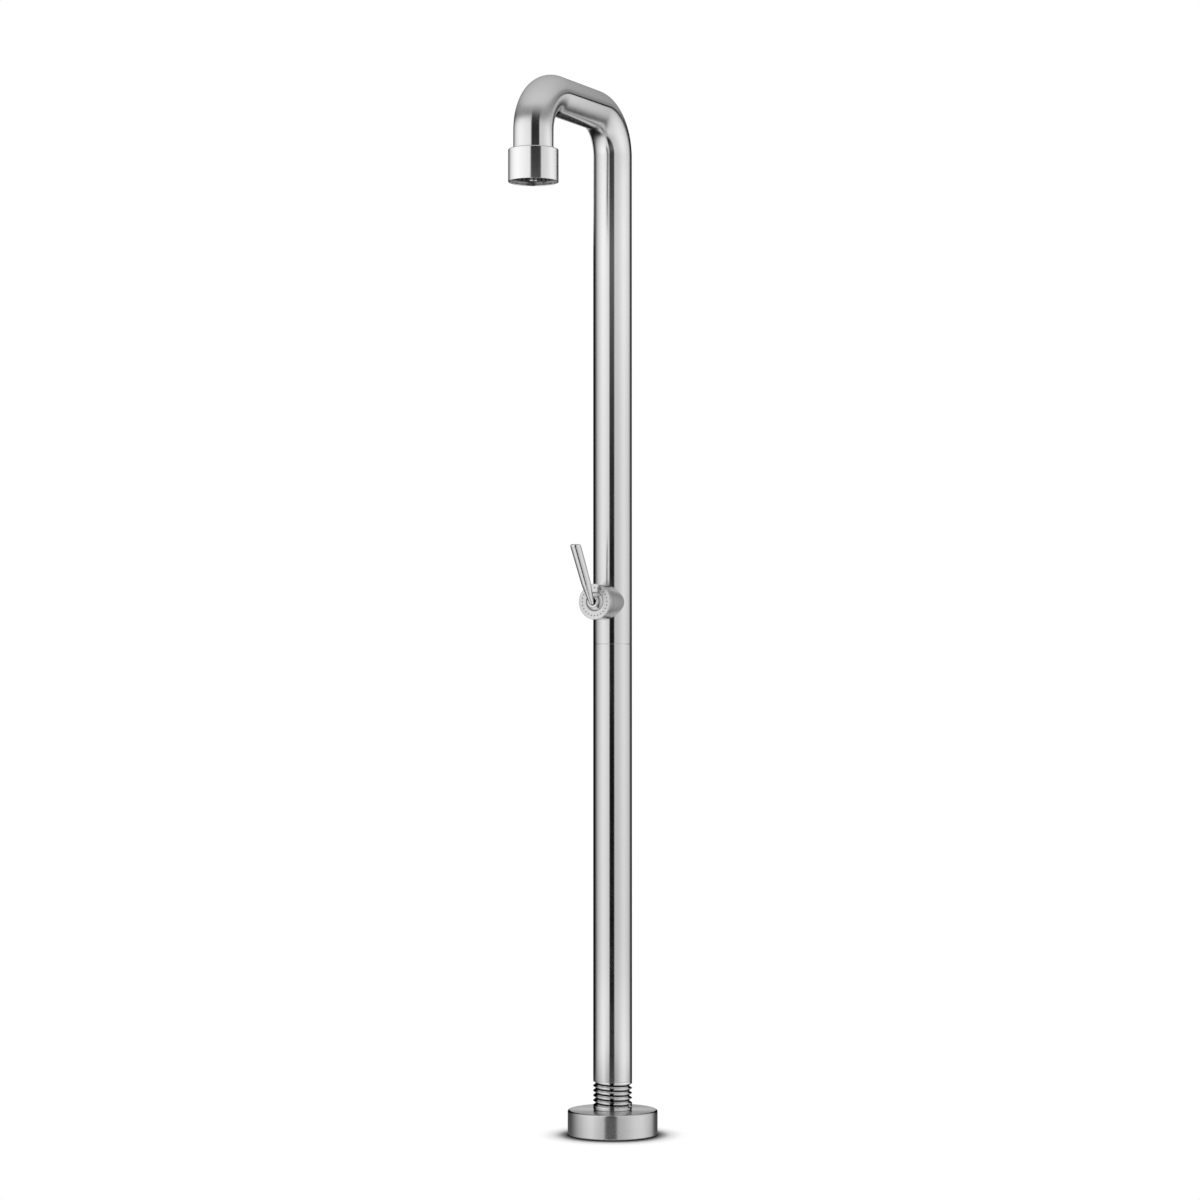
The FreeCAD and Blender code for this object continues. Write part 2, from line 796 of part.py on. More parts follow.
def cap_o_ring():
    """Seal between the cap and the boss."""
    middle = boss_bore_radius - seal_clear - o_ring_section
    return on_mixer_axis(o_ring(middle, cap_back_reach - cap_spigot_length / 2))


def dome_seat():
    """Plastic ring behind the cap's front that the dome slides in."""
    seat = rod(seat_outer_radius, seat_back_reach, cap_front_inside)
    return on_mixer_axis(seat.cut(dome_opening(cap_front_inside, seat_back_reach)))


# Pipes --------------------------------------------------------------------------------------
def supply_pipe(side):
    """Straight pipe from an inlet fitting up to the mixer."""
    top = mixer_height - port_shoulder
    outside = rod(pipe_radius, supply_pipe_bottom, top, side)
    return outside.cut(rod(pipe_radius - pipe_wall, supply_pipe_bottom, top, side))


def riser_pipe():
    """Pipe from the mixer through post and arm to the spray head."""
    outside = cane(pipe_radius, riser_bottom, riser_end)
    return outside.cut(cane(pipe_radius - pipe_wall, riser_bottom, riser_end))


def pipe_nut(bottom, x=0.0):
    """Hexagonal nut round a pipe."""
    return hexagon(nut_flats, bottom, bottom + nut_height, x).cut(
        rod(pipe_fit_radius, bottom, bottom + nut_height, x))


def supply_nuts():
    """Nuts that hold the two supply pipes in the mixer."""
    bottom = mixer_height - port_end - nut_height
    return Part.makeCompound([pipe_nut(bottom, -supply_offset), pipe_nut(bottom, supply_offset)])


def riser_nut():
    """Nut that holds the riser in the mixer."""
    return pipe_nut(mixer_height + port_end)


def spout_nut():
    """Nut that holds the riser in the spout plug."""
    return on_spout(pipe_nut(plug_top))


def spacer(height, sides):
    """Plastic disc that holds pipes in the middle of the tube."""
    top = height + spacer_thickness
    disc = rod(tube_bore_radius - clear, height, top)
    return disc.cut([rod(pipe_radius + slide, height, top, side) for side in sides])


def supply_spacers():
    """Spacers round the two supply pipes."""
    sides = (-supply_offset, supply_offset)
    return Part.makeCompound([spacer(height, sides) for height in supply_spacer_heights])


def riser_spacers():
    """Spacers round the riser."""
    return Part.makeCompound([spacer(height, (0.0,)) for height in riser_spacer_heights])


def inlet_fitting(side):
    """Threaded end of a supply pipe, under the base."""
    body = rod(inlet_thread_radius, inlet_bottom, inlet_hex_bottom, side)
    body = body.fuse([
        hexagon(inlet_flats, inlet_hex_bottom, inlet_collar_bottom, side),
        rod(inlet_collar_radius, inlet_collar_bottom, inlet_top, side),
    ])
    return body.cut([
        rod(inlet_bore_radius, inlet_bottom, supply_pipe_bottom, side),
        rod(pipe_fit_radius, supply_pipe_bottom, inlet_top, side),
    ])


def check_valves():
    """One-way valves in the two inlet fittings."""
    bottom = inlet_bottom + check_valve_recess
    top = bottom + check_valve_length
    valves = []
    for side in (-supply_offset, supply_offset):
        outside = rod(check_valve_radius, bottom, top, side)
        valves.append(outside.cut(rod(check_valve_bore_radius, bottom, top, side)))
    return Part.makeCompound(valves)


# Spray head ---------------------------------------------------------------------------------
def head_sleeve():
    """Outer sleeve of the spray head, round the end of the spout."""
    tube_hole = tube_radius + clear
    groove_top = face_bottom
    groove_bottom = face_bottom - snap_ring_thickness - seal_clear
    groove_radius = sleeve_bore_radius + snap_ring_depth
    ledge_radius = sleeve_bore_radius - ledge_width
    top_underside = sleeve_top_height - sleeve_top_wall
    sleeve = turned([
        (sleeve_bore_radius, sleeve_bottom_height),
        (sleeve_radius, sleeve_bottom_height),
        (sleeve_radius, sleeve_top_height),
        (tube_hole, sleeve_top_height),
        (tube_hole, top_underside),
        (sleeve_bore_radius, top_underside),
        (sleeve_bore_radius, ledge_top),
        (ledge_radius, ledge_top),
        (ledge_radius, head_body_top),
        (sleeve_bore_radius, head_body_top),
        (sleeve_bore_radius, groove_top),
        (groove_radius, groove_top),
        (groove_radius, groove_bottom),
        (sleeve_bore_radius, groove_bottom),
    ])
    sleeve = sleeve.makeFillet(sleeve_top_round, rim(sleeve, sleeve_radius, sleeve_top_height))
    lip = rim(sleeve, sleeve_radius, sleeve_bottom_height)
    lip += rim(sleeve, sleeve_bore_radius, sleeve_bottom_height)
    return on_spout(sleeve.makeFillet(sleeve_rim_round, lip))


def nozzle_places(radius, bottom, top):
    """One short cylinder at every nozzle, before the head is moved to the spout."""
    places = []
    for circle, count in nozzle_rings:
        places += around(rod(radius, bottom, top, circle), count)
    return places


def spray_face():
    """Round plate that the nozzles look through."""
    disc = ring(jet_shank_radius + fit, insert_radius, face_bottom, face_top)
    return on_spout(disc.cut(nozzle_places(nozzle_radius + slide, face_bottom, face_top)))


def nozzle_mat():
    """Soft mat with all the nozzles."""
    mat = ring(jet_shank_radius + fit, insert_radius, face_top, mat_top)
    tip = face_bottom - nozzle_drop
    mat = mat.fuse(nozzle_places(nozzle_radius, tip, face_top))
    return on_spout(mat.cut(nozzle_places(nozzle_bore_radius, tip, mat_top)))


def centre_jet():
    """Round jet in the middle of the spray face."""
    bottom = sleeve_bottom_height + jet_recess
    knob = rod(jet_radius, bottom, face_bottom)
    knob = knob.makeFillet(jet_edge_round, rim(knob, jet_radius, bottom))
    shank_top = mat_top + jet_nut_height
    jet = knob.fuse(rod(jet_shank_radius, face_bottom, shank_top))
    return on_spout(jet.cut(rod(jet_bore_radius, bottom, shank_top)))


def jet_nut():
    """Nut that clamps the jet, the face and the mat together."""
    nut = hexagon(jet_nut_flats, mat_top, mat_top + jet_nut_height)
    bore = rod(jet_shank_radius + fit, mat_top, mat_top + jet_nut_height)
    return on_spout(nut.cut(bore))


def snap_ring():
    """Open spring ring that holds the spray face in the sleeve."""
    outer = sleeve_bore_radius + snap_ring_depth - seal_clear
    bottom = face_bottom - snap_ring_thickness
    whole = ring(outer - snap_ring_width, outer, bottom, face_bottom)
    gap = Part.makeBox(2 * outer, snap_ring_gap, snap_ring_thickness,
                       FreeCAD.Vector(0, -snap_ring_gap / 2, bottom))
    gap.rotate(ORIGIN, Z, 90)
    return on_spout(whole.cut(gap))


def head_body():
    """Water chamber of the spray head, with the neck that screws into the spout plug."""
    roof = head_body_top - head_body_wall
    chamber_radius = insert_radius - head_body_wall
    bore = inlet_neck_bore_radius
    throat = regulator_bore_radius
    body = turned([
        (chamber_radius, mat_top),
        (insert_radius, mat_top),
        (insert_radius, head_body_top),
        (inlet_neck_radius, head_body_top),
        (inlet_neck_radius, inlet_neck_top),
        (bore, inlet_neck_top),
        (bore, regulator_bottom),
        (throat, regulator_bottom),
        (throat, roof),
        (chamber_radius, roof),
    ])
    return on_spout(body)


def flow_regulator():
    """Small disc that limits the flow to the spray head."""
    top = regulator_bottom + regulator_thickness
    disc = rod(inlet_neck_bore_radius - slide, regulator_bottom, top)
    hole = rod(regulator_hole_radius, regulator_bottom, top, regulator_circle_radius)
    holes = around(hole, regulator_hole_count)
    return on_spout(disc.cut(holes))


def spout_plug():
    """End piece of the spout: joins the riser to the spray head."""
    plug = turned([
        (plug_bore_radius, plug_bottom),
        (tube_bore_radius - slide, plug_bottom),
        (tube_bore_radius - slide, plug_bottom + plug_thickness),
        (plug_boss_radius, plug_bottom + plug_thickness),
        (plug_boss_radius, plug_top),
        (pipe_fit_radius, plug_top),
        (pipe_fit_radius, riser_end),
        (pipe_radius - pipe_wall, riser_end),
        (pipe_radius - pipe_wall, plug_web_bottom),
        (plug_bore_radius, plug_web_bottom),
    ])
    return on_spout(plug)


parts = {
    "base_gasket": base_gasket(),
    "mounting_plate": mounting_plate(),
    "neck_set_screws": neck_set_screws(),
    "base_cover": base_cover(),
    "threaded_neck": threaded_neck(),
    "neck_o_ring": neck_o_ring(),
    "lower_post_tube": lower_post_tube(),
    "post_coupler": post_coupler(),
    "upper_post_tube": upper_post_tube(),
    "mixer_boss": mixer_boss(),
    "mixer_mount_ring": mixer_mount_ring(),
    "mixer_screws": mixer_screws(),
    "mixer_body": mixer_body(),
    "cartridge_seals": cartridge_seals(),
    "cartridge_body": cartridge_body(),
    "cartridge_nut": cartridge_nut(),
    "cartridge_rotor": cartridge_rotor(),
    "tilt_pin": tilt_pin(),
    "lever_stem": lever_stem(),
    "lever_hub": lever_hub(),
    "lever_handle": lever_handle(),
    "lever_grub_screw": lever_grub_screw(),
    "dome_seat": dome_seat(),
    "mixer_cap": mixer_cap(),
    "cap_o_ring": cap_o_ring(),
    "cold_supply_pipe": supply_pipe(supply_offset),
    "hot_supply_pipe": supply_pipe(-supply_offset),
    "supply_nuts": supply_nuts(),
    "supply_spacers": supply_spacers(),
    "cold_inlet_fitting": inlet_fitting(supply_offset),
    "hot_inlet_fitting": inlet_fitting(-supply_offset),
    "check_valves": check_valves(),
    "riser_pipe": riser_pipe(),
    "riser_nut": riser_nut(),
    "riser_spacers": riser_spacers(),
    "spout_plug": spout_plug(),
    "spout_nut": spout_nut(),
    "head_body": head_body(),
    "flow_regulator": flow_regulator(),
    "head_sleeve": head_sleeve(),
    "nozzle_mat": nozzle_mat(),
    "spray_face": spray_face(),
    "centre_jet": centre_jet(),
    "jet_nut": jet_nut(),
    "snap_ring": snap_ring(),
}

os.makedirs("parts", exist_ok=True)
for name, shape in parts.items():
    shape.exportStep("parts/" + name + ".step")
    print(name, "solids", len(shape.Solids), "valid", shape.isValid(),
          "cm3", round(shape.Volume / 1000, 2))
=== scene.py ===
"""Outdoor shower post: the finish of every piece, the light tent it stands in, and the camera.

Metres and degrees, in the part's own frame: the origin is the centre of the underside of the base, +Z
is up, and the arm, the spray head and the mixer point along -Y.
"""
import logging
import math
from dataclasses import dataclass
from enum import Enum

import bpy
from mathutils import Matrix, Vector


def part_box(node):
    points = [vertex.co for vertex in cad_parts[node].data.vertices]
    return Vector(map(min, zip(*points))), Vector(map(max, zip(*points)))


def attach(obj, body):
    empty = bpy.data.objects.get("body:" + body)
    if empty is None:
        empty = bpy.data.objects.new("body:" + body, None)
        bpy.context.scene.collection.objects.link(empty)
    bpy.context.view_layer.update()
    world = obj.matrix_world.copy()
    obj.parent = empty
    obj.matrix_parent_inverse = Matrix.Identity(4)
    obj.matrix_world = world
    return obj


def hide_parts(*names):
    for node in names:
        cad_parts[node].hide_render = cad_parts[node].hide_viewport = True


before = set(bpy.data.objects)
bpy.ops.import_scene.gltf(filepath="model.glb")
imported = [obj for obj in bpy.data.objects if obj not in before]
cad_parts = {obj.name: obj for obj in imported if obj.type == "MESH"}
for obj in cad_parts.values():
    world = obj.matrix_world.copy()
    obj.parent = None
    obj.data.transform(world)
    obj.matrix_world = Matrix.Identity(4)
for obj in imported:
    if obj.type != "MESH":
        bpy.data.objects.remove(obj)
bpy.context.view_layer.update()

log = logging.getLogger("shower_post")

TUBE_LAY = "tube_lay"
TUBE_UV = "tube_uv"

CAMERA_AZIMUTH = 27.8
MIXER_HEIGHT = 1.148
SPOUT_REACH = 0.352
LEVER_FOOT_REACH = 0.098
LEVER_LEAN = 31.0

STEEL = (0.74, 0.74, 0.74)
BRASS = (0.76, 0.58, 0.30)

Source = bpy.types.NodeSocket | float | tuple[float, ...]
Stops = tuple[tuple[float, float], ...]


# Small helpers --------------------------------------------------------------------------------
class Mixed(Enum):
    """What a Mix node mixes, with its data type and the numbers of its two inputs and its output."""

    NUMBER = ("FLOAT", 2, 3, 0)
    COLOUR = ("RGBA", 6, 7, 2)


class Sheet:
    """A node tree, with short ways to add nodes and join them."""

    def __init__(self, tree: bpy.types.NodeTree) -> None:
        """Keeps the tree that nodes are added to."""
        self.tree = tree

    def feed(self, socket: bpy.types.NodeSocket, value: Source) -> None:
        """Joins an output to a socket, or sets the socket's own value.

        Args:
            socket: The input socket.
            value: An output socket to link, or a plain value.
        """
        if isinstance(value, bpy.types.NodeSocket):
            self.tree.links.new(value, socket)
        else:
            socket.default_value = value

    def add(self, kind: str, inputs: dict | None = None, **settings: object) -> bpy.types.Node:
        """Adds a node.

        Args:
            kind: The node's type name.
            inputs: Values or output sockets by input name or number.
            **settings: Properties of the node itself.

        Returns:
            The new node.
        """
        node = self.tree.nodes.new(kind)
        for name, value in settings.items():
            setattr(node, name, value)
        for key, value in (inputs or {}).items():
            self.feed(node.inputs[key], value)
        return node

    def math(self, operation: str, first: Source, second: Source = 0.0) -> bpy.types.NodeSocket:
        """Adds a Math node.

        Args:
            operation: The node's operation.
            first: Its first value or socket.
            second: Its second value or socket.

        Returns:
            The node's output socket.
        """
        return self.add("ShaderNodeMath", {0: first, 1: second}, operation=operation).outputs[0]

    def object_place(self) -> bpy.types.NodeSocket:
        """The place on the surface, in the object's own frame."""
        return self.add("ShaderNodeTexCoord").outputs["Object"]

    def split(self, vector: bpy.types.NodeSocket) -> list[bpy.types.NodeSocket]:
        """The three coordinates of a place, one socket each."""
        return list(self.add("ShaderNodeSeparateXYZ", {0: vector}).outputs)

    def radius(self, x: bpy.types.NodeSocket, y: bpy.types.NodeSocket) -> bpy.types.NodeSocket:
        """The distance from the Z axis of a place with these two coordinates."""
        squares = self.math("ADD", self.math("MULTIPLY", x, x), self.math("MULTIPLY", y, y))
        return self.math("SQRT", squares)

    def mix(self, mixed: Mixed, factor: Source, first: Source,
            second: Source) -> bpy.types.NodeSocket:
        """Adds a Mix node.

        Args:
            mixed: What it mixes.
            factor: How much of the second value is used.
            first: Its first value or socket.
            second: Its second value or socket.

        Returns:
            The node's output socket.
        """
        data_type, first_input, second_input, output = mixed.value
        inputs = {0: factor, first_input: first, second_input: second}
        return self.add("ShaderNodeMix", inputs, data_type=data_type).outputs[output]

    def ramp(self, factor: Source, stops: Stops) -> bpy.types.NodeSocket:
        """Adds a Color Ramp of greys.

        Args:
            factor: The value or socket that picks the grey.
            stops: Position and grey level of each stop, in order.

        Returns:
            The ramp's colour socket.
        """
        node = self.add("ShaderNodeValToRGB", {"Fac": factor})
        points = node.color_ramp.elements
        while len(points) < len(stops):
            points.new(0.5)
        for point, (position, level) in zip(points, stops):
            point.position = position
            point.color = opaque(grey(level))
        return node.outputs["Color"]


def grey(level: float) -> tuple[float, float, float]:
    """A colour that is the same in all three channels."""
    return (level, level, level)


def opaque(colour: tuple[float, float, float]) -> tuple[float, float, float, float]:
    """A colour with its fourth channel, as node sockets want it."""
    return (*colour, 1.0)


def new_material(name: str) -> tuple[bpy.types.Material, Sheet]:
    """Starts a node material with nothing in it.

    Args:
        name: The material's name.

    Returns:
        The material and the sheet of its node tree.
    """
    material = bpy.data.materials.new(name)
    material.use_nodes = True
    material.node_tree.nodes.clear()
    return material, Sheet(material.node_tree)


def deselect_all() -> None:
    """Leaves nothing selected."""
    for item in bpy.context.selected_objects:
        item.select_set(False)


def make_active(piece: bpy.types.Object) -> None:
    """Selects one object alone and makes it active.

    Args:
        piece: The object.
    """
    deselect_all()
    piece.select_set(True)
    bpy.context.view_layer.objects.active = piece


def name_active(name: str) -> bpy.types.Object:
    """Names the object that an operator has just added, and its mesh.

    Args:
        name: The name of both.

    Returns:
        The object.
    """
    piece = bpy.context.object
    piece.name = name
    piece.data.name = name
    return piece


def apply_modifiers(piece: bpy.types.Object) -> None:
    """Applies every modifier of a piece, in order.

    Args:
        piece: The piece.
    """
    make_active(piece)
    for name in [modifier.name for modifier in piece.modifiers]:
        bpy.ops.object.modifier_apply(modifier=name)


def settle(piece: bpy.types.Object) -> None:
    """Moves a piece's place into its mesh, so that its object sits at the origin."""
    make_active(piece)
    bpy.ops.object.transform_apply(location=True, rotation=True, scale=True)


# Shared effects -------------------------------------------------------------------------------
class Effects:
    """Node groups that several finishes use, each built once."""

    def __init__(self) -> None:
        """Builds every group."""
        self.turned_lines = self._turned_lines()
        self.soft_marks = self._soft_marks()

    @staticmethod
    def _start(name: str, numbers: dict[str, float]) -> tuple[bpy.types.NodeTree, Sheet, bpy.types.Node]:
        """Starts a group that reads a place and some numbers, and puts out one value.

        Args:
            name: The group's name.
            numbers: Its number inputs with their defaults.

        Returns:
            The group, its sheet and its input node.
        """
        group = bpy.data.node_groups.new(name, "ShaderNodeTree")
        group.interface.new_socket("Place", in_out="INPUT", socket_type="NodeSocketVector")
        for label, value in numbers.items():
            socket = group.interface.new_socket(label, in_out="INPUT", socket_type="NodeSocketFloat")
            socket.default_value = value
        group.interface.new_socket("Value", in_out="OUTPUT", socket_type="NodeSocketFloat")
        sheet = Sheet(group)
        return group, sheet, sheet.add("NodeGroupInput")

    def _turned_lines(self) -> bpy.types.NodeTree:
        """Fine lines round the local Z axis, as a lathe or a polishing belt leaves them."""
        group, sheet, start = self._start("turned_lines", {"Density": 1500.0, "Drift": 12.0})
        x, y, z = sheet.split(start.outputs["Place"])
        reach = sheet.math("ADD", sheet.radius(x, y), z)
        across = sheet.math("MULTIPLY", reach, start.outputs["Density"])
        drift = start.outputs["Drift"]
        spot = sheet.add("ShaderNodeCombineXYZ", {
            "X": sheet.math("MULTIPLY", x, drift),
            "Y": sheet.math("MULTIPLY", y, drift),
            "Z": across,
        })
        lines = sheet.add("ShaderNodeTexNoise", {
            "Vector": spot.outputs[0], "Scale": 1.0, "Detail": 3.0, "Roughness": 0.7,
        })
        sheet.add("NodeGroupOutput", {"Value": lines.outputs[0]})
        return group

    def _soft_marks(self) -> bpy.types.NodeTree:
        """Wide, soft patches where a surface is a little duller."""
        group, sheet, start = self._start("soft_marks", {"Scale": 9.0, "Sharpness": 0.3})
        cloud = sheet.add("ShaderNodeTexNoise", {
            "Vector": start.outputs["Place"], "Scale": start.outputs["Scale"],
            "Detail": 5.0, "Roughness": start.outputs["Sharpness"],
        })
        spread = sheet.add("ShaderNodeMapRange", {
            "Value": cloud.outputs[0], "From Min": 0.35, "From Max": 0.68,
        }, interpolation_type="SMOOTHSTEP")
        sheet.add("NodeGroupOutput", {"Value": spread.outputs[0]})
        return group


# Finishes -------------------------------------------------------------------------------------
@dataclass(frozen=True)
class Axis:
    """The line that a piece was turned about: a point on it and its lean from +Z towards -Y."""

    origin: tuple[float, float, float] = (0.0, 0.0, 0.0)
    lean_degrees: float = 0.0


class Turning(Enum):
    """What a turned piece was turned about."""

    POST = "post"
    HEAD = "head"
    MIXER = "mixer"
    LEVER = "lever"
    TUBE = "bent tube"


AXES = {
    Turning.POST: Axis(),
    Turning.HEAD: Axis((0.0, -SPOUT_REACH, 0.0)),
    Turning.MIXER: Axis((0.0, 0.0, MIXER_HEIGHT), 90.0),
    Turning.LEVER: Axis((0.0, -LEVER_FOOT_REACH, MIXER_HEIGHT), LEVER_LEAN),
}


@dataclass(frozen=True)
class Shade:
    """Painted shade on part of a turned surface, given by its distances from and along the turning axis.
    """

    level: float
    inner: float = 0.0
    outer: float = 1.0
    low: float = -10.0
    high: float = 10.0

    def mask(self, sheet: Sheet, radius: bpy.types.NodeSocket,
             along: bpy.types.NodeSocket) -> bpy.types.NodeSocket:
        """Marks the shaded part.

        Args:
            sheet: The material's sheet.
            radius: The distance from the axis.
            along: The distance along the axis.

        Returns:
            A socket that is 1 inside the part and 0 elsewhere.
        """
        across = sheet.math("MULTIPLY", sheet.math("GREATER_THAN", radius, self.inner),
                            sheet.math("LESS_THAN", radius, self.outer))
        length = sheet.math("MULTIPLY", sheet.math("GREATER_THAN", along, self.low),
                            sheet.math("LESS_THAN", along, self.high))
        return sheet.math("MULTIPLY", across, length)


@dataclass(frozen=True)
class MetalFinish:
    """A turned or belt-polished metal: fine lines round its axis, wide, soft marks, and any painted
    shade.
    """

    name: str
    colour: tuple[float, float, float]
    turning: Turning = Turning.POST
    smooth: float = 0.16
    dull: float = 0.2
    anisotropy: float = 0.95
    anisotropy_turn: float = 0.25
    line_density: float = 1500.0
    line_depth: float = 0.000001
    line_shade: float = 0.97
    mark_scale: float = 9.0
    shades: tuple[Shade, ...] = ()

    def place(self, sheet: Sheet) -> bpy.types.NodeSocket:
        """The surface's place in a frame whose Z is the turning axis.

        Args:
            sheet: The material's sheet.

        Returns:
            A vector socket.
        """
        if self.turning is Turning.TUBE:
            return sheet.add("ShaderNodeAttribute", attribute_name=TUBE_LAY).outputs["Vector"]
        axis = AXES[self.turning]
        turned = sheet.add("ShaderNodeMapping", {
            "Vector": sheet.object_place(), "Location": axis.origin,
            "Rotation": (math.radians(axis.lean_degrees), 0.0, 0.0),
        }, vector_type="TEXTURE")
        return turned.outputs[0]

    def tangent(self, sheet: Sheet) -> bpy.types.NodeSocket:
        """The direction round the piece, which its lines follow.

        Args:
            sheet: The material's sheet.

        Returns:
            A vector socket.
        """
        if self.turning is Turning.TUBE:
            node = sheet.add("ShaderNodeTangent", direction_type="UV_MAP", uv_map=TUBE_UV)
        else:
            axis = "Y" if self.turning is Turning.MIXER else "Z"
            node = sheet.add("ShaderNodeTangent", direction_type="RADIAL", axis=axis)
        return node.outputs[0]

    def shaded(self, sheet: Sheet, place: bpy.types.NodeSocket,
               colour: bpy.types.NodeSocket) -> bpy.types.NodeSocket:
        """The colour with the finish's painted shade laid over it.

        Args:
            sheet: The material's sheet.
            place: The place in the turning frame.
            colour: The metal's colour.

        Returns:
            The colour socket to use.
        """
        if not self.shades:
            return colour
        x, y, along = sheet.split(place)
        radius = sheet.radius(x, y)
        for shade in self.shades:
            mask = shade.mask(sheet, radius, along)
            colour = sheet.mix(Mixed.COLOUR, mask, colour, opaque(grey(shade.level)))
        return colour

    def build(self, effects: Effects) -> bpy.types.Material:
        """Builds the material.

        Args:
            effects: The shared node groups.

        Returns:
            The finished material.
        """
        material, sheet = new_material(self.name)
        place = self.place(sheet)
        lines = sheet.add("ShaderNodeGroup", {"Place": place, "Density": self.line_density},
                          node_tree=effects.turned_lines)
        marks = sheet.add("ShaderNodeGroup", {"Place": place, "Scale": self.mark_scale},
                          node_tree=effects.soft_marks)
        shade = tuple(channel * self.line_shade for channel in self.colour)
        colour = sheet.mix(Mixed.COLOUR, lines.outputs[0], opaque(shade), opaque(self.colour))
        roughness = sheet.add("ShaderNodeMapRange", {
            "Value": marks.outputs[0], "To Min": self.smooth, "To Max": self.dull,
        })
        bump = sheet.add("ShaderNodeBump", {
            "Height": lines.outputs[0], "Strength": 1.0, "Distance": self.line_depth,
        })
        shader = sheet.add("ShaderNodeBsdfPrincipled", {
            "Base Color": self.shaded(sheet, place, colour), "Metallic": 1.0,
            "Roughness": roughness.outputs[0], "Normal": bump.outputs[0],
            "Tangent": self.tangent(sheet), "Anisotropic": self.anisotropy,
            "Anisotropic Rotation": self.anisotropy_turn,
        })
        sheet.add("ShaderNodeOutputMaterial", {"Surface": shader.outputs[0]})
        return material


@dataclass(frozen=True)
class MouldedFinish:
    """A moulded plastic or rubber: an even colour with a fine, slightly uneven skin."""

    name: str
    colour: tuple[float, float, float]
    roughness: float = 0.5
    unevenness: float = 0.08
    pebble_scale: float = 900.0
    pebble_depth: float = 0.00002
    mark_scale: float = 40.0
    mottle: float = 0.9

    def build(self, effects: Effects) -> bpy.types.Material:
        """Builds the material.

        Args:
            effects: The shared node groups.

        Returns:
            The finished material.
        """
        material, sheet = new_material(self.name)
        place = sheet.object_place()
        marks = sheet.add("ShaderNodeGroup", {"Place": place, "Scale": self.mark_scale},
                          node_tree=effects.soft_marks)
        pebble = sheet.add("ShaderNodeTexNoise", {
            "Vector": place, "Scale": self.pebble_scale, "Detail": 2.0,
        })
        shade = tuple(channel * self.mottle for channel in self.colour)
        colour = sheet.mix(Mixed.COLOUR, marks.outputs[0], opaque(self.colour), opaque(shade))
        roughness = sheet.add("ShaderNodeMapRange", {
            "Value": marks.outputs[0], "To Min": self.roughness,
            "To Max": self.roughness + self.unevenness,
        })
        bump = sheet.add("ShaderNodeBump", {
            "Height": pebble.outputs[0], "Strength": 1.0, "Distance": self.pebble_depth,
        })
        shader = sheet.add("ShaderNodeBsdfPrincipled", {
            "Base Color": colour, "Roughness": roughness.outputs[0], "Normal": bump.outputs[0],
        })
        sheet.add("ShaderNodeOutputMaterial", {"Surface": shader.outputs[0]})
        return material


class FinishBook:
    """Every finish of the part, built once and handed out by name."""

    def __init__(self) -> None:
        """Builds the finishes that several sub-assemblies share."""
        self._effects = Effects()
        self._built: dict[str, bpy.types.Material] = {}
        for finish in (
            MetalFinish("plain_steel", grey(0.5), smooth=0.34, dull=0.46),
            MetalFinish("machined_brass", BRASS, smooth=0.22, dull=0.34, anisotropy=0.4),
            MouldedFinish("seal_rubber", grey(0.015), roughness=0.45),
            MouldedFinish("white_acetal", (0.82, 0.82, 0.8), roughness=0.35, mottle=0.96),
            MouldedFinish("black_nylon", (0.03, 0.03, 0.032), roughness=0.4),
        ):
            self.add(finish)

    def add(self, finish: MetalFinish | MouldedFinish) -> None:
        """Builds one more finish and keeps it under its name."""
        self._built[finish.name] = finish.build(self._effects)

    def __getitem__(self, name: str) -> bpy.types.Material:
        """The built material of a finish."""
        return self._built[name]


# Sub-assemblies -------------------------------------------------------------------------------
@dataclass
class SubAssembly:
    """Pieces that belong together: models the new ones and dresses the CAD nodes."""

    finishes: FinishBook

    def make_finishes(self) -> None:
        """Builds the finishes that only this sub-assembly wears."""

    def build(self) -> None:
        """Models the pieces that stand for CAD nodes; most sub-assemblies have none."""

    def dress(self) -> None:
        """Gives every CAD node of the sub-assembly its finish."""
        raise NotImplementedError

    def wear(self, finish: str, *nodes: str) -> None:
        """Puts a finish on CAD nodes.

        Args:
            finish: The finish's name.
            *nodes: The nodes' names.
        """
        for node in nodes:
            self.paint(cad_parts[node], finish)
            log.info("%s: %s in %s", type(self).__name__, node, finish)

    def paint(self, piece: bpy.types.Object, finish: str) -> None:
        """Puts a finish on a piece, in place of any it has.

        Args:
            piece: The piece or CAD node.
            finish: The finish's name.
        """
        if not piece.material_slots:
            piece.data.materials.append(self.finishes[finish])
        for place in piece.material_slots:
            place.material = self.finishes[finish]

    def add_piece(self, piece: bpy.types.Object, finish: str, slot: str, replaced: str) -> None:
        """Dresses a new piece of the post and joins it to the part.

        Args:
            piece: The finished piece, at the origin.
            finish: The finish's name.
            slot: Not used.
            replaced: The CAD node that it stands for.
        """
        self.paint(piece, finish)
        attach(piece, "post")
        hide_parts(replaced)
        log.info("%s: made %s in %s", type(self).__name__, piece.name, finish)


@dataclass
class Base(SubAssembly):
    """The round base: its cover, the plate and gasket under it, and the screws that lock the neck."""

    cover_grey: float = 0.68
    gasket_grey: float = 0.02
    smooth: float = 0.22
    dull: float = 0.28

    def make_finishes(self) -> None:
        """Builds the cover's satin and the gasket's rubber."""
        add = self.finishes.add
        add(MetalFinish("base_satin", grey(self.cover_grey), smooth=self.smooth, dull=self.dull))
        add(MouldedFinish("gasket_rubber", grey(self.gasket_grey), roughness=0.7))

    def dress(self) -> None:
        """Dresses the base."""
        self.wear("base_satin", "base_cover")
        self.wear("plain_steel", "mounting_plate", "neck_set_screws")
        self.wear("gasket_rubber", "base_gasket")


